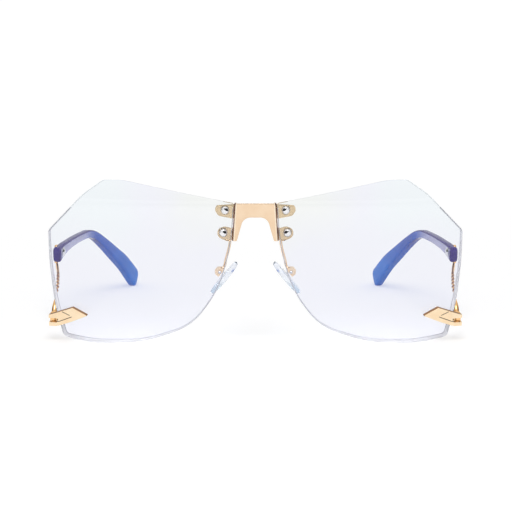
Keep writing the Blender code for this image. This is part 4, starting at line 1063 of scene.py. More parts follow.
def groove_loop(shares):
    """A narrow loop round an engraved line: its points moved to both sides along the mean normals of
    the stretches that meet there."""
    plate = sizes("plate")
    points = np.array(shares) * (plate.length, plate.height)
    ahead = unit(np.diff(points, axis=0))
    normals = np.stack([-ahead[:, 1], ahead[:, 0]], -1) * plate.groove_width / 2
    off = (np.concatenate([normals[:1], normals]) + np.concatenate([normals, normals[-1:]])) / 2
    return np.concatenate([points + off, (points - off)[::-1]])


def fork_shape():
    """The fork: an upright block, round behind the hinge axis, whose front points are moved back on to
    the plane of the plate's face."""
    plate, temple = sizes("plate"), sizes("temple")
    half = plate.barrel / 2
    corners = ((-1, -PAST_PIECE, 0), (1, -PAST_PIECE, 0), (1, half, half), (-1, half, half))
    loop = rounded(shaped(corners, half, 1, 1, (temple.axis_out, temple.axis_back)), FORK_STEP)
    verts, faces = slab(loop, temple.fork_bottom, temple.fork_bottom + temple.fork_height, FORK_EDGE)
    frame_at = np.array(plate_place())
    normal, face = frame_at[:3, 2], frame_at[:3, 3] + frame_at[:3, 2] * plate.thickness
    beyond = (face - verts) @ normal / normal[1]
    verts[:, 1] = np.maximum(verts[:, 1], verts[:, 1] + beyond)
    return verts, faces


def bridge_screws():
    """Places of the two bridge screws on one side, as out and up."""
    bridge = sizes("bridge")
    return {"upper": (bridge.upper_out, bridge.upper_up), "lower": (bridge.lower_out, bridge.lower_up)}


def lens_shape():
    """A lens: rows run from the middle of the front face out to its ground edge, over a chamfer, across
    the rim, over the other chamfer and back to the middle of the rear face. Outwards and downwards the
    rim leans in towards the rear, by a share of the bevel that grows with the distance from the axis.
    Below the clear part of the edge, the chamfers get a kind of their own, and all the rim another."""
    lens = sizes("lens")
    outline = finer(rounded(shaped(LENS_CORNER_SHARES, lens.width, lens.height, lens.height)), LENS_SIDE)
    outline = outline + (lens.spacing / 2, 0)
    face = inset(outline, lens.chamfer)
    middle = face.mean(0)
    away = np.hypot(outline[:, 0] - lens.axis_out, outline[:, 1] - lens.axis_up)
    leaning = np.clip((away - lens.bevel_from) / lens.bevel_over, 0, 1)
    leaning = leaning * np.clip((LEAN_TOP_SHARE - outline[:, 1] / lens.height) / LEAN_FADE_SHARE, 0, 1)
    rim = outline + (inset(outline, lens.bevel) - outline) * leaning[:, None]
    shares = np.linspace(0, 1, LENS_RINGS + 1)[1:, None, None]
    front = on_lens(middle + (face - middle) * shares, 0)
    edge = on_lens(outline, lens.chamfer)[None]
    far_edge = on_lens(rim, lens.thickness - lens.chamfer)[None]
    rear = on_lens(middle + (inset(rim, lens.chamfer) - middle) * shares[::-1], lens.thickness)
    rows = np.concatenate([front, edge, far_edge, rear])
    verts, faces = shell(rows, on_lens(middle, 0), on_lens(middle, lens.thickness))
    kinds = np.zeros(len(faces), int)
    bands = kinds[:(len(rows) - 1) * len(outline)].reshape(-1, len(outline))[LENS_RINGS - 1:LENS_RINGS + 2]
    bands[:] = 2 * (outline[:, 1] < CLEAR_EDGE_SHARE * lens.height)
    bands[1] = 1
    return verts, faces, kinds


def fold_starts():
    """For each stretch of the folded sheet: where it starts (along, out, back, heading) and its turn
    for each unit of length. Straight, a quarter turn back, straight, a turn out again, straight."""
    bridge, lens = sizes("bridge"), sizes("lens")
    start = lens.spacing / 2 - bridge.gap - bridge.sheet / 2 - bridge.fold
    depth = float(lens_sag(lens.spacing / 2, bridge.top)) + lens.thickness + bridge.seat + bridge.front
    flange = depth - bridge.fold - bridge.fold * math.cos(bridge.tab_lean)
    quarter = math.pi / 2
    stretches = ((start, 0), (bridge.fold * quarter, quarter), (flange, 0),
                 (bridge.fold * (quarter + bridge.tab_lean), -quarter - bridge.tab_lean), (bridge.tab_length, 0))
    rows, along, out, back, heading = [], 0, 0, 0, 0
    for reach, turn in stretches:
        rows.append((along, out, back, heading, turn / reach))
        if turn:
            radius = reach / turn
            out += radius * (math.sin(heading + turn) - math.sin(heading))
            back -= radius * (math.cos(heading + turn) - math.cos(heading))
            heading += turn
        else:
            out += reach * math.cos(heading)
            back += reach * math.sin(heading)
        along += reach
    return np.array(rows)


def folded(along):
    """Out and back of points this far along the folded sheet: on a straight stretch they advance along
    its heading, and on a fold round a circle."""
    starts = fold_starts()
    which = np.clip(np.searchsorted(starts[:, 0], along, side="right") - 1, 0, len(starts) - 1)
    begin, out, back, heading, rate = starts[which].T
    step = along - begin
    safe = np.where(rate == 0, 1, rate)
    bent_out = (np.sin(heading + rate * step) - np.sin(heading)) / safe
    bent_back = -(np.cos(heading + rate * step) - np.cos(heading)) / safe
    return (out + np.where(rate == 0, step * np.cos(heading), bent_out),
            back + np.where(rate == 0, step * np.sin(heading), bent_back))


def bridge_slope(up):
    """How much further out the folds lie at this height than at the bridge's top."""
    bridge = sizes("bridge")
    return (bridge.top - up) * bridge.slope


def tab_back(out, up):
    """How far back the rear face of a tab lies at a place behind the lens."""
    bridge = sizes("bridge")
    root_out, root_back = folded(fold_starts()[4:, 0])
    reach = out - root_out[0] - bridge_slope(up)
    return root_back[0] - reach * math.tan(bridge.tab_lean) + bridge.sheet - bridge.front


def bridge_blank():
    """Outline of the flat sheet before it is folded: along it from the middle, and up."""
    bridge = sizes("bridge")
    bottom = bridge.top - bridge.height
    fold_start, flange, tab = fold_starts()[[1, 3, 4], 0]
    upper, lower = (shaped(shares, bridge.tab_length, -bridge.height, bridge.tab_length, (tab, bridge.top))
                    for shares in (UPPER_TAB_SHARES, LOWER_TAB_SHARES))
    under, over = upper[-1][1], lower[0][1]
    neck = flange - bridge.relief
    leg = fold_start - bridge.leg
    half = [(flange, bridge.top, 0), (flange, upper[0][1], 0), *upper, (neck, under, 0),
            (neck, under - bridge.relief, 0), (flange, under - bridge.relief, 0),
            (flange, over + bridge.relief, 0), (neck, over + bridge.relief, 0), (neck, over, 0), *lower,
            (flange, bottom, 0), (leg, bottom, bridge.leg_rounding),
            (leg - bridge.arch_taper, bottom + bridge.arch_rise, bridge.arch_rounding)]
    return rounded(half + [(-a, up, radius) for a, up, radius in reversed(half)])


def inside(points, loops):
    """Which points lie inside: those for which a ray to the right crosses the outlines an odd number
    of times."""
    crossed = np.zeros(len(points), int)
    for loop in loops:
        ahead = np.roll(loop, -1, 0)
        x, y = points[:, None, 0], points[:, None, 1]
        straddles = (loop[None, :, 1] > y) != (ahead[None, :, 1] > y)
        rise = np.where(straddles, ahead[None, :, 1] - loop[None, :, 1], 1)
        meets = loop[None, :, 0] + (y - loop[None, :, 1]) / rise * (ahead - loop)[None, :, 0]
        crossed += (straddles & (x < meets)).sum(1)
    return crossed % 2 == 1


def bridge_shape():
    """The flat blank is cut into triangles with lines of points along every fold, and each point is
    carried on to the folded sheet, a function of how far along it lies and of its height. The first
    fold's faces get a painted highlight strip and then, where they turn to the side, a painted shade."""
    bridge = sizes("bridge")
    starts = fold_starts()
    root = folded(starts[4:, 0])[0][0]
    loops = [finer(bridge_blank(), BRIDGE_SIDE)]
    for out, up in bridge_screws().values():
        along = starts[4, 0] + (out - root - bridge_slope(up)) / math.cos(bridge.tab_lean)
        ring = circle(bridge.screw_shank / 2 + bridge.seat, HOLE_SIDES) + (along, up)
        loops += [ring, ring * (-1, 1)]
    first, bend, flange, tab = starts[1:, 0]
    lines = np.concatenate([np.arange(0, first, BRIDGE_SIDE), np.linspace(first, bend, FOLD_LINES),
                            np.arange(bend, flange, TAB_STEP)[1:], np.linspace(flange, tab, FOLD_LINES),
                            np.arange(tab, tab + bridge.tab_length, TAB_STEP)[1:]])
    lines = np.concatenate([-lines[:0:-1], lines])
    ups = np.arange(bridge.top - bridge.height * ROWS_SHARE, bridge.top, BRIDGE_STEP_UP)
    grid = np.stack(np.meshgrid(lines, ups, indexing="ij"), -1).reshape(-1, 2)
    grid = grid[inside(grid, loops)]
    rim = np.concatenate(loops)
    apart = grid[:, None] - rim
    grid = grid[(np.hypot(apart[..., 0], apart[..., 1]) > RIM_CLEARANCE).all(1)]
    ends = np.cumsum([0, *(len(loop) for loop in loops)])
    edges = np.concatenate([np.stack([np.arange(low, high), np.roll(np.arange(low, high), -1)], -1)
                            for low, high in zip(ends, ends[1:])]).tolist()
    points = [Vector(point) for point in np.concatenate([rim, grid]).tolist()]
    verts, _, faces, *_ = delaunay_2d_cdt(points, edges, [], 0, TINY)
    flat = np.array([tuple(vert) for vert in verts])
    faces = np.array([face for face in faces if len(face) == 3])
    faces = faces[inside(flat[faces].mean(1), loops)]
    along = np.abs(flat[:, 0])
    out, back = folded(along)
    out = out + bridge_slope(flat[:, 1]) * np.minimum(along / first, 1)
    placed = np.stack([np.copysign(out, flat[:, 0]), back + bridge.sheet / 2 - bridge.front, flat[:, 1]], -1)
    turn = (along[faces].mean(1) - first) / (bend - first)
    # The first fold gets a painted highlight strip, then a painted shade where it turns to the side
    kinds = np.select([turn < FOLD_HIGHLIGHT_SHARE, turn < FOLD_SHADE_SHARE, turn < 1], [0, 2, 1], 0)
    return placed, faces.tolist(), kinds


def dome_screw(head, rise, shank, reach, sides=TURNED_SIDES):
    """A screw turned from its crown: an arc of a circle for the dome, a small rounded brim, the flat
    under the head and the shank, whose end is chamfered."""
    brim = rise * BRIM_SHARE
    half, cap, low = head / 2, rise - brim, brim * BRIM_ROUND_SHARE
    radius = (half ** 2 + cap ** 2) / 2 / cap
    turns = np.linspace(0, math.asin(half / radius), DOME_POINTS)
    dome = [(radius * math.sin(turn), rise - radius * (1 - math.cos(turn))) for turn in turns]
    shank_end = shank * SHANK_END_SHARE
    return turned([*dome, (half, low), (half - low, 0), (shank / 2, 0), (shank / 2, shank_end - reach),
                   (shank / 2 - shank_end, -reach), (0, -reach)], sides)


def washer_shape(outer, inner, thickness):
    """A flat ring with rounded edges."""
    edge = thickness * WASHER_EDGE_SHARE
    half, hole = outer / 2, inner / 2
    return turned([(hole, edge), (hole, thickness - edge), (hole + edge, thickness), (half - edge, thickness),
                   (half, thickness - edge), (half, edge), (half - edge, 0), (hole + edge, 0)], TURNED_SIDES)


def pad_place():
    """Axes at the middle of a nose pad: up along it, across it to the back, and towards the nose."""
    pad = sizes("pad")
    up, back = Vector((-math.sin(pad.lean), 0, math.cos(pad.lean))), Vector((0, 1, 0))
    return axes((pad.out, pad.back, pad.up), up, back, up.cross(back))


def pad_pin():
    """Axes at the middle of the pad's box: up along the pad, towards the nose, and forwards."""
    pad, place = sizes("pad"), pad_place()
    up, back, nose = (place.col[index].to_3d() for index in range(3))
    return axes(place @ Vector((pad.box_shift, 0, -pad.box_offset)), up, nose, -back)


def pad_shape():
    """A soft pad: rings of an oval, narrower at the top, spread and raised along a smooth profile."""
    pad = sizes("pad")
    profile = through(PAD_RING_SHARES, PAD_STEPS) * (1, pad.thickness)
    ring = circle(1, PAD_SIDES)
    narrowing = 1 - pad.taper * ring[:, :1]
    oval = np.concatenate([ring[:, :1] * pad.length, ring[:, 1:] * pad.width * narrowing], 1) / 2
    rows = raised(oval, profile)
    return shell(rows, rows[0].mean(0), rows[-1].mean(0))


def pad_recess():
    """The pocket in the pad's back for the insert's plate."""
    pad, seat = sizes("pad"), sizes("bridge").seat
    loop = rounded(shaped(((-1, -1, 1), (1, -1, 1), (1, 1, 1), (-1, 1, 1)), pad.insert_length / 2 + seat,
                          pad.insert_width / 2 + seat, pad.insert_width / 4))
    return slab(loop, -pad.thickness, pad.insert_thickness - pad.thickness / 2 + seat)


def headings(centres):
    """The way ahead at each point of a path."""
    return unit(np.gradient(centres, axis=0))


def wire_shape():
    """The pad wire: a round tube along a smooth curve from behind the lower tab to the end of the box,
    with its two ends drawn in a little. Each ring lies square to the path, on one axis that is square
    to the way back too, and on one that is square to both the path and the first."""
    pad, seat = sizes("pad"), sizes("bridge").seat
    start = Vector((pad.wire_out, tab_back(pad.wire_out, pad.wire_up) + seat + pad.wire / 2, pad.wire_up))
    pin = pad_pin()
    end, bend = (pin @ Vector((pad.box_length / 2 + seat + more, 0, 0)) for more in (0, pad.wire))
    way = bend - start
    route = [start + Vector((way.x * out, way.y * back, way.z * down)) for out, back, down in WIRE_SHARES]
    centres = through([tuple(point) for point in [*route, end]], WIRE_STEPS)
    run = np.linspace(0, 1, len(centres))
    ends = np.minimum(1, np.minimum(run, 1 - run) / WIRE_END_SHARE)
    radii = pad.wire / 2 * np.sqrt(1 - (1 - ends) ** 2 * WIRE_END_DRAW)
    ahead = headings(centres)
    one = unit(np.cross(ahead, (0.0, 1.0, 0.0)))
    two = np.cross(ahead, one)
    ring = circle(1, WIRE_SIDES)[None]
    rows = centres[:, None] + radii[:, None, None] * (one[:, None] * ring[..., :1] + two[:, None] * ring[..., 1:])
    return shell(rows, centres[0], centres[-1])


def square_to(ahead):
    """For each way along a path, the level way outwards, square to it, and the way up from both."""
    outward = unit(np.cross(ahead, (0.0, 0.0, 1.0)))
    return outward, np.cross(outward, ahead)


def section_turns(sides):
    """Angles of the points round a section, none of them on its axes."""
    return 2 * math.pi * (np.arange(sides) + 0.5) / sides


def sections(centres, ahead, thickness, breadth, square, sides, wave=0, phase=0):
    """Rings round a path. Each is a superellipse across it, whose power goes from round to nearly
    square, slid sideways by a sine wave whose phase grows along the path and leans across it."""
    outward, upward = square_to(ahead)
    square, wave, phase = (np.broadcast_to(value, len(centres))[:, None] for value in (square, wave, phase))
    power = 1 - square * SQUARING
    cos, sin = np.cos(section_turns(sides))[None], np.sin(section_turns(sides))[None]
    a, b = np.sign(cos) * np.abs(cos) ** power, np.sign(sin) * np.abs(sin) ** power
    slide = wave * np.sin(2 * math.pi * (phase + sizes("temple").ridge_slant * b))
    across, high = a * thickness[:, None] / 2 + slide, b * breadth[:, None] / 2
    return centres[:, None] + outward[:, None] * across[..., None] + upward[:, None] * high[..., None]


def temple_rows(steps):
    """Along the blade: the middle of its section, then its thickness and breadth."""
    temple = sizes("temple")
    back, up, toe, thick, broad = np.array(TEMPLE_STATION_SHARES).T
    thickness = temple.temple_thickness * thick
    out = temple.out - temple.toe_in * toe - thickness / 2
    rows = np.stack([out, temple.front + temple.temple_reach * back, temple.up * up, thickness,
                     temple.temple_breadth * broad], -1)
    return through(rows, steps)


def temple_shape():
    """The blade: superellipse sections along a smooth curve, and at both ends sections that draw in
    along a quarter of an ellipse."""
    temple = sizes("temple")
    rows = temple_rows(BLADE_STEPS)
    centres, thickness, breadth = rows[:, :3], rows[:, 3], rows[:, 4]
    ahead = headings(centres)
    grid = sections(centres, ahead, thickness, breadth, BLADE_SQUARENESS, BLADE_SIDES)
    turns = np.linspace(0, math.pi / 2, BLADE_END_RINGS + 1)[1:]
    for index, rounding, way in ((0, temple.front_rounding, -1), (-1, temple.tip_rounding, 1)):
        drawn = rounding * (1 - np.cos(turns))
        moved = centres[index] + ahead[index] * (way * rounding * np.sin(turns))[:, None]
        end = sections(moved, np.repeat(ahead[index][None], len(turns), 0),
                       thickness[index] - drawn * THICKNESS_DRAW, breadth[index] - drawn * BREADTH_DRAW,
                       BLADE_SQUARENESS, BLADE_SIDES)
        grid = np.concatenate([end[::-1], grid] if way < 0 else [grid, end])
    return shell(grid, grid[0].mean(0), grid[-1].mean(0))


def arm_seat():
    """Axes at the temple's screw, on the floor under the arm's plate: back, up and outwards."""
    temple, seat = sizes("temple"), sizes("bridge").seat
    rows = temple_rows(2)
    outer = rows[:, :3] + rows[:, 3:4] * (0.5, 0, 0)
    start, end = outer[0], outer[np.argmax(outer[:, 1] >= temple.recess_end)]
    along = Vector((end[0] - start[0], end[1] - start[1], 0)).normalized()
    up = Vector((0, 0, 1))
    outward = along.cross(up)
    place = Vector(start) + along * ((temple.screw_back - start[1]) / along.y)
    place.z = temple.screw_up
    return axes(place - outward * (temple.plate_thickness + seat), along, up, outward)


def plate_outline():
    """Outline of the arm's plate about its screw."""
    temple = sizes("temple")
    return rounded(shaped(ARM_PLATE_CORNER_SHARES, temple.plate_length, temple.plate_height, temple.plate_height))


def arm_shape():
    """The arm's horn: sections that rise in an S, with slanting ridges on its upper stretch. A face in
    a valley, where the ridges' sine wave is low, gets the second kind: a painted shade."""
    temple = sizes("temple")
    start_up = temple.slot_bottom + temple.slot_height / 2
    back, up, out, thick, broad, square = np.array(ARM_STATION_SHARES).T
    rows = through(np.stack([temple.axis_out + out * temple.sweep, temple.axis_back + back * temple.reach,
                             start_up + up * temple.rise, temple.thickness * thick, temple.breadth * broad,
                             square], -1), ARM_STEPS)
    first, last = RIDGED_STATIONS
    run = (np.arange(len(rows)) - first * ARM_STEPS) / ((last - first) * ARM_STEPS)
    wave = rows[:, 3] * temple.ridge_height * np.sqrt(np.sin(math.pi * np.clip(run, 0, 1)))
    grid = sections(rows[:, :3], headings(rows[:, :3]), rows[:, 3], rows[:, 4], rows[:, 5], ARM_SIDES, wave,
                    run * temple.ridges)
    verts, faces = shell(grid, grid[0].mean(0), grid[-1].mean(0))
    run, lean = run[:-1, None], temple.ridge_slant * np.sin(section_turns(ARM_SIDES))
    valley = np.sin(2 * math.pi * (run * temple.ridges + lean)) < VALLEY_LEVEL
    kinds = np.zeros(len(faces), int)
    # Valleys get the painted shade
    kinds[:valley.size] = (valley & (run > 0) & (run < 1)).ravel()
    return verts, faces, kinds


def knuckle_shape():
    """The arm's knuckle: a disc with chamfered edges, turned about the hinge axis."""
    temple = sizes("temple")
    half, edge = temple.knuckle / 2, temple.hinge_gap
    low, high = edge, temple.slot_height - edge
    return turned([(0, low), (half - edge, low), (half, low + edge), (half, high - edge),
                   (half - edge, high), (0, high)], TURNED_SIDES)


def mark_layers(mesh, side):
    """Stores where each point lies on the blade: how far along it from 0 to 1, and on the nearest
    section how far out and how far up, each from -1 to 1."""
    rows = temple_rows(BLADE_STEPS)
    centres = rows[:, :3]
    ahead = headings(centres)
    outward, upward = square_to(ahead)
    points = (points_of(mesh) - ground_shift()) * (side, 1, 1)
    near = np.argmin(((points[:, None] - centres[None]) ** 2).sum(2), axis=1)
    offset = points - centres[near]
    layer, rim, past = ((offset * way[near]).sum(1) for way in (outward, upward, ahead))
    along = (near + past / np.linalg.norm(centres[1] - centres[0])) / (len(rows) - 1)
    for name, values in (("layer", layer / rows[near, 3] * 2), ("rim", rim / rows[near, 4] * 2), ("along", along)):
        held = mesh.attributes.new(name, "FLOAT", "POINT")
        held.data.foreach_set("value", values.astype(np.float32))


# ---- Operators


class GLASSES_OT_stage(bpy.types.Operator):
    """Make the pale floor, the soft light, the lamp and the camera"""

    bl_idname = "glasses.stage"
    bl_label = "Stage"

    def execute(self, context):
        studio, scene = sizes("studio"), context.scene
        scene.view_settings.view_transform = "Standard"
        corners = np.array([(-0.5, -0.5, 0), (0.5, -0.5, 0), (0.5, 0.5, 0), (-0.5, 0.5, 0)]) * studio.floor
        mesh_object("floor", corners - (0, 0, FLOOR_DROP), [(0, 1, 2, 3)], finishes=("pale_floor",))
        self.make_world(scene, studio)
        self.make_lamp(studio)
        self.make_camera(scene, studio)
        return {"FINISHED"}

    def make_world(self, scene, studio):
        """Even light for matt surfaces and white for the camera; for gloss and glass, white ahead and
        behind with dark flags at the sides, fainter in glass."""
        world = bpy.data.worlds.new("studio")
        scene.world = world
        world.use_nodes = True
        tree = world.node_tree
        tree.nodes.clear()
        sideways = calculated(tree, "ABSOLUTE", place_along(tree, "X", "Generated"))
        level = studio.fill
        for kind, strength in (("Glossy", ranged(tree, sideways, *GLOSS_SIDES, 1.0, studio.flag)),
                               ("Transmission", ranged(tree, sideways, *GLASS_SIDES, 1.0, studio.glass_flag)),
                               ("Camera", 1.0)):
            level = mixed(tree, rays(tree, kind), level, strength, "FLOAT")
        add(tree, "OutputWorld", surface=add(tree, "Background", strength=level).outputs["Background"])

    def make_lamp(self, studio):
        """A square area lamp ahead and above that points at the glasses."""
        data = bpy.data.lights.new("key", "AREA")
        data.shape, data.size, data.energy = "SQUARE", studio.key_size, studio.key
        made = linked("key", data)
        made.location = (0, -studio.key_ahead, studio.key_ahead)
        made.rotation_euler = (Vector() - made.location).to_track_quat("-Z", "Y").to_euler()

    def make_camera(self, scene, studio):
        """The camera, where it shows the photographed view."""
        data = bpy.data.cameras.new("camera")
        data.sensor_width, data.lens = SENSOR, SENSOR * studio.focal
        data.shift_x = studio.shift
        data.clip_start, data.clip_end = 0.01, 100
        scene.camera = linked("camera", data)
        scene.camera.location = ground_shift() + (0, -studio.distance, studio.camera_up)
        scene.camera.rotation_euler = (math.pi / 2 - studio.pitch, 0, 0)


class GLASSES_OT_lenses(bpy.types.Operator):
    """Make the two lenses with their ground edges and drilled holes"""

    bl_idname = "glasses.lenses"
    bl_label = "Lenses"

    def execute(self, context):
        bridge, plate = sizes("bridge"), sizes("plate")
        *surface, kinds = lens_shape()
        draft = build(surface, None, kinds, ("lens_face", "lens_rim", "lens_chamfer"))
        for out, up in bridge_screws().values():
            combine(draft, "DIFFERENCE", bore(bridge.screw_shank), lens_frame(out, up), 1)
        for shares in POST_SHARES:
            combine(draft, "DIFFERENCE", bore(plate.post), plate_place(*shares), 1)
        both_sides(draft, "ground_lens", "front", "lens_{}")
        return {"FINISHED"}


class GLASSES_OT_bridge(bpy.types.Operator):
    """Make the folded bridge"""

    bl_idname = "glasses.bridge"
    bl_label = "Bridge"

    def execute(self, context):
        bridge = sizes("bridge")
        verts, faces, kinds = bridge_shape()
        piece = mesh_object("folded_bridge", verts + ground_shift(), faces, kinds,
                            ("gold_bridge", "fold_shade", "fold_light"))
        sheet = piece.modifiers.new("sheet", "SOLIDIFY")
        sheet.thickness, sheet.offset, sheet.use_even_offset = bridge.sheet, 0, True
        edge = piece.modifiers.new("edge", "BEVEL")
        edge.width, edge.segments = bridge.edge, 2
        edge.limit_method, edge.angle_limit = "ANGLE", SHEET_EDGE_ANGLE
        settled(piece)
        finished(piece, "front", "bridge")
        return {"FINISHED"}


class GLASSES_OT_bridge_screws(bpy.types.Operator):
    """Make the domed screws and clear washers in front of the lenses, and finish the nuts"""

    bl_idname = "glasses.bridge_screws"
    bl_label = "Bridge screws"

    def execute(self, context):
        bridge = sizes("bridge")
        for key, (out, up) in bridge_screws().items():
            face = lens_frame(out, up)
            washer_place = face @ lifted(bridge.seat)
            head_place = washer_place @ lifted(bridge.washer_thickness + bridge.seat)
            washer = washer_shape(bridge.washer_width, bridge.screw_shank + bridge.seat * 2, bridge.washer_thickness)
            both_sides(build(washer, washer_place, 0, ("washer_plastic",)), "clear_washer_" + key, "front",
                       "bridge_washer_{}_" + key)
            behind = tab_back(out, up) - face.translation.y + bridge.seat
            reach = bridge.seat * 2 + bridge.washer_thickness + behind + bridge.nut_thickness + bridge.proud
            screw = dome_screw(bridge.screw_head, bridge.screw_rise, bridge.screw_shank, reach)
            draft = build(screw, head_place, 0, ("bright_steel", "slot"))
            # The slot is cut where the head shows a dark reflection, and its black floor paints that reflection too
            slot = np.array(SLOT_SHARES) * (-bridge.screw_head, bridge.screw_head)
            combine(draft, "DIFFERENCE", slab(slot, bridge.screw_rise * SLOT_FLOOR_SHARE, PAST_PIECE), head_place, 1)
            both_sides(draft, "dome_screw_" + key, "front", "bridge_screw_{}_" + key)
            repaint("bridge_nut_{}_" + key, "polished_steel")
        return {"FINISHED"}


class GLASSES_OT_pads(bpy.types.Operator):
    """Make the nose pads, their wires and their screws, and finish the boxes and inserts"""

    bl_idname = "glasses.pads"
    bl_label = "Nose pads"

    def execute(self, context):
        pad, seat = sizes("pad"), sizes("bridge").seat
        draft = build(pad_shape(), pad_place(), 0, ("pad_silicone",))
        combine(draft, "DIFFERENCE", pad_recess(), pad_place())
        both_sides(draft, "soft_pad", "pad_{}", "nose_pad_{}")
        both_sides(build(wire_shape(), None, 0, ("gold_wire",)), "pad_wire", "front", "pad_arm_{}")
        screw = dome_screw(pad.screw_head, pad.screw_rise, pad.screw_shank, pad.box_depth + seat, PAD_SCREW_SIDES)
        both_sides(build(screw, pad_pin() @ lifted(pad.box_depth / 2 + seat), 0, ("polished_steel",)), "pad_pin",
                   "front", "pad_screw_{}")
        repaint("pad_box_{}", "gold_wire")
        repaint("pad_insert_{}", "washer_plastic")
        return {"FINISHED"}


class GLASSES_OT_corners(bpy.types.Operator):
    """Make the engraved corner plates and the hinge screws, and finish their fasteners"""

    bl_idname = "glasses.corners"
    bl_label = "Corner plates"

    def execute(self, context):
        plate, temple, seat = sizes("plate"), sizes("temple"), sizes("bridge").seat
        place, face = plate_place(), seat + plate.thickness
        outline = rounded(shaped(PLATE_CORNER_SHARES, plate.length, plate.height, plate.height))
        surface = slab(outline, seat, face, plate.edge)
        draft = build(surface, place, self.edge_kinds(outline, len(surface[1])),
                      ("gold_satin", "engraved", "gold_side"))
        combine(draft, "UNION", fork_shape())
        posts = [plate_place(*shares) for shares in POST_SHARES]
        for post in posts:
            combine(draft, "UNION", rod(plate.post, -sizes("lens").thickness, seat + plate.edge), post)
        slot = np.array([(plate.slot_out, 0), (PAST_FORK, 0), (PAST_FORK, PAST_FORK), (plate.slot_out, PAST_FORK)])
        combine(draft, "DIFFERENCE", slab(slot, temple.slot_bottom, temple.slot_bottom + temple.slot_height))
        combine(draft, "DIFFERENCE", bore(temple.pin_shank), hinge_place(PAST_PIECE))
        for post in posts:
            combine(draft, "DIFFERENCE", bore(plate.bore, plate.thickness * BORE_SHARE), post)
        for shares in GROOVE_SHARES:
            groove = slab(groove_loop(shares), face - plate.groove_depth, face + PAST_FACE)
            combine(draft, "DIFFERENCE", groove, place, 1)
        hole = rod(plate.pin_hole, face - plate.thickness / 2, face + PAST_FACE)
        combine(draft, "DIFFERENCE", hole, plate_place(*PIN_HOLE_SHARE), 1)
        both_sides(draft, "corner_plate", "front", "hinge_plate_{}")
        screw = dome_screw(temple.pin_head, temple.pin_rise, temple.pin_shank, temple.fork_height + seat,
                           HINGE_SCREW_SIDES)
        top = hinge_place(temple.fork_bottom + temple.fork_height + seat)
        both_sides(build(screw, top, 0, ("gold_warm",)), "hinge_pin", "front", "hinge_screw_{}")
        repaint("back_plate_{}", "gold_satin")
        for key in ("inner", "outer"):
            repaint("plate_screw_{}_" + key, "polished_steel")
        return {"FINISHED"}

    def edge_kinds(self, outline, count):
        """Kinds of the plate's faces: its edge all round, and the upper half of its front rounding, get
        the painted shade of the edges."""
        kinds = np.zeros(count, int)
        bands = kinds[:-2].reshape(-1, len(outline))
        bands[3] = 2
        # Only the upper half: painted shade where the rounding faces up
        bands[4:6] = 2 * (outline[:, 1] > 0)
        return kinds


class GLASSES_OT_arms(bpy.types.Operator):
    """Make the ridged arms with their knuckles and plates"""

    bl_idname = "glasses.arms"
    bl_label = "Temple arms"

    def execute(self, context):
        temple, seat = sizes("temple"), sizes("bridge").seat
        *surface, kinds = arm_shape()
        draft = build(surface, None, kinds, ("gold_warm", "gold_dark"))
        thick = temple.plate_thickness
        plate = slab(plate_outline(), seat, seat + thick, thick * ARM_PLATE_EDGE_SHARE)
        hinge = hinge_place(temple.slot_bottom)
        combine(draft, "UNION", plate, arm_seat())
        combine(draft, "UNION", knuckle_shape(), hinge)
        combine(draft, "DIFFERENCE", bore(temple.pin_shank), hinge)
        combine(draft, "DIFFERENCE", bore(temple.screw_shank), arm_seat())
        both_sides(draft, "ridged_arm", "temple_{}", "temple_arm_{}")
        return {"FINISHED"}


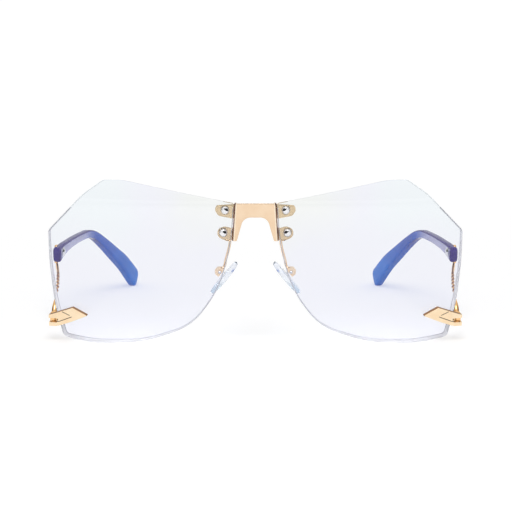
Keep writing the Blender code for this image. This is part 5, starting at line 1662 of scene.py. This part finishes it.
class GLASSES_OT_temples(bpy.types.Operator):
    """Make the acetate temples and their screws"""

    bl_idname = "glasses.temples"
    bl_label = "Temples"

    def execute(self, context):
        temple, seat = sizes("temple"), sizes("bridge").seat
        place = arm_seat()
        draft = build(temple_shape(), None, 0, ("layered_acetate",))
        combine(draft, "DIFFERENCE", slab(inset(plate_outline(), -seat), 0, PAST_PIECE), place)
        combine(draft, "DIFFERENCE", bore(temple.screw_shank), place)
        made = both_sides(draft, "acetate_temple", "temple_{}", "temple_{}")
        for piece, (side, _) in zip(made, SIDES):
            mark_layers(piece.data, side)
        depth = temple.temple_thickness * TEMPLE_STATION_SHARES[0][3] - temple.plate_thickness
        inner = place @ lifted(-depth) @ Matrix.Rotation(math.pi, 4, "X")
        screw = dome_screw(temple.screw_head, temple.screw_rise, temple.screw_shank,
                           depth + seat + temple.plate_thickness)
        both_sides(build(screw, inner, 0, ("polished_steel",)), "temple_pin", "temple_{}", "temple_screw_{}")
        return {"FINISHED"}


class GLASSES_PT_panel(bpy.types.Panel):
    """Lists the pieces of the glasses"""

    bl_idname = "GLASSES_PT_panel"
    bl_label = "Rimless Glasses"
    bl_space_type = "VIEW_3D"
    bl_region_type = "UI"
    bl_category = "Glasses"

    def draw(self, context):
        for operator in OPERATORS:
            self.layout.operator(operator.bl_idname)
        for kind in GROUPS:
            group = sizes(kind)
            box = self.layout.box()
            for name in group.bl_rna.properties.keys():
                if name not in ("rna_type", "name"):
                    box.prop(group, name)


OPERATORS = (GLASSES_OT_lenses, GLASSES_OT_bridge, GLASSES_OT_bridge_screws, GLASSES_OT_pads, GLASSES_OT_corners,
             GLASSES_OT_arms, GLASSES_OT_temples, GLASSES_OT_stage)
GROUPS = {"lens": LensSizes, "bridge": BridgeSizes, "pad": PadSizes, "plate": PlateSizes, "temple": TempleSizes,
          "finish": Finishes, "studio": StudioSizes}


def register():
    """Registers the property groups, the operators and the panel."""
    for kind, group in GROUPS.items():
        bpy.utils.register_class(group)
        setattr(bpy.types.Scene, "glasses_" + kind, PointerProperty(type=group))
    for held in (*OPERATORS, GLASSES_PT_panel):
        bpy.utils.register_class(held)


def unregister():
    """Takes them all away again."""
    for held in (GLASSES_PT_panel, *reversed(OPERATORS)):
        bpy.utils.unregister_class(held)
    for kind, group in reversed(GROUPS.items()):
        delattr(bpy.types.Scene, "glasses_" + kind)
        bpy.utils.unregister_class(group)


def main():
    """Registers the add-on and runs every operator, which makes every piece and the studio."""
    register()
    for operator in OPERATORS:
        family, name = operator.bl_idname.split(".")
        getattr(getattr(bpy.ops, family), name)()


if __name__ == "__main__":
    main()
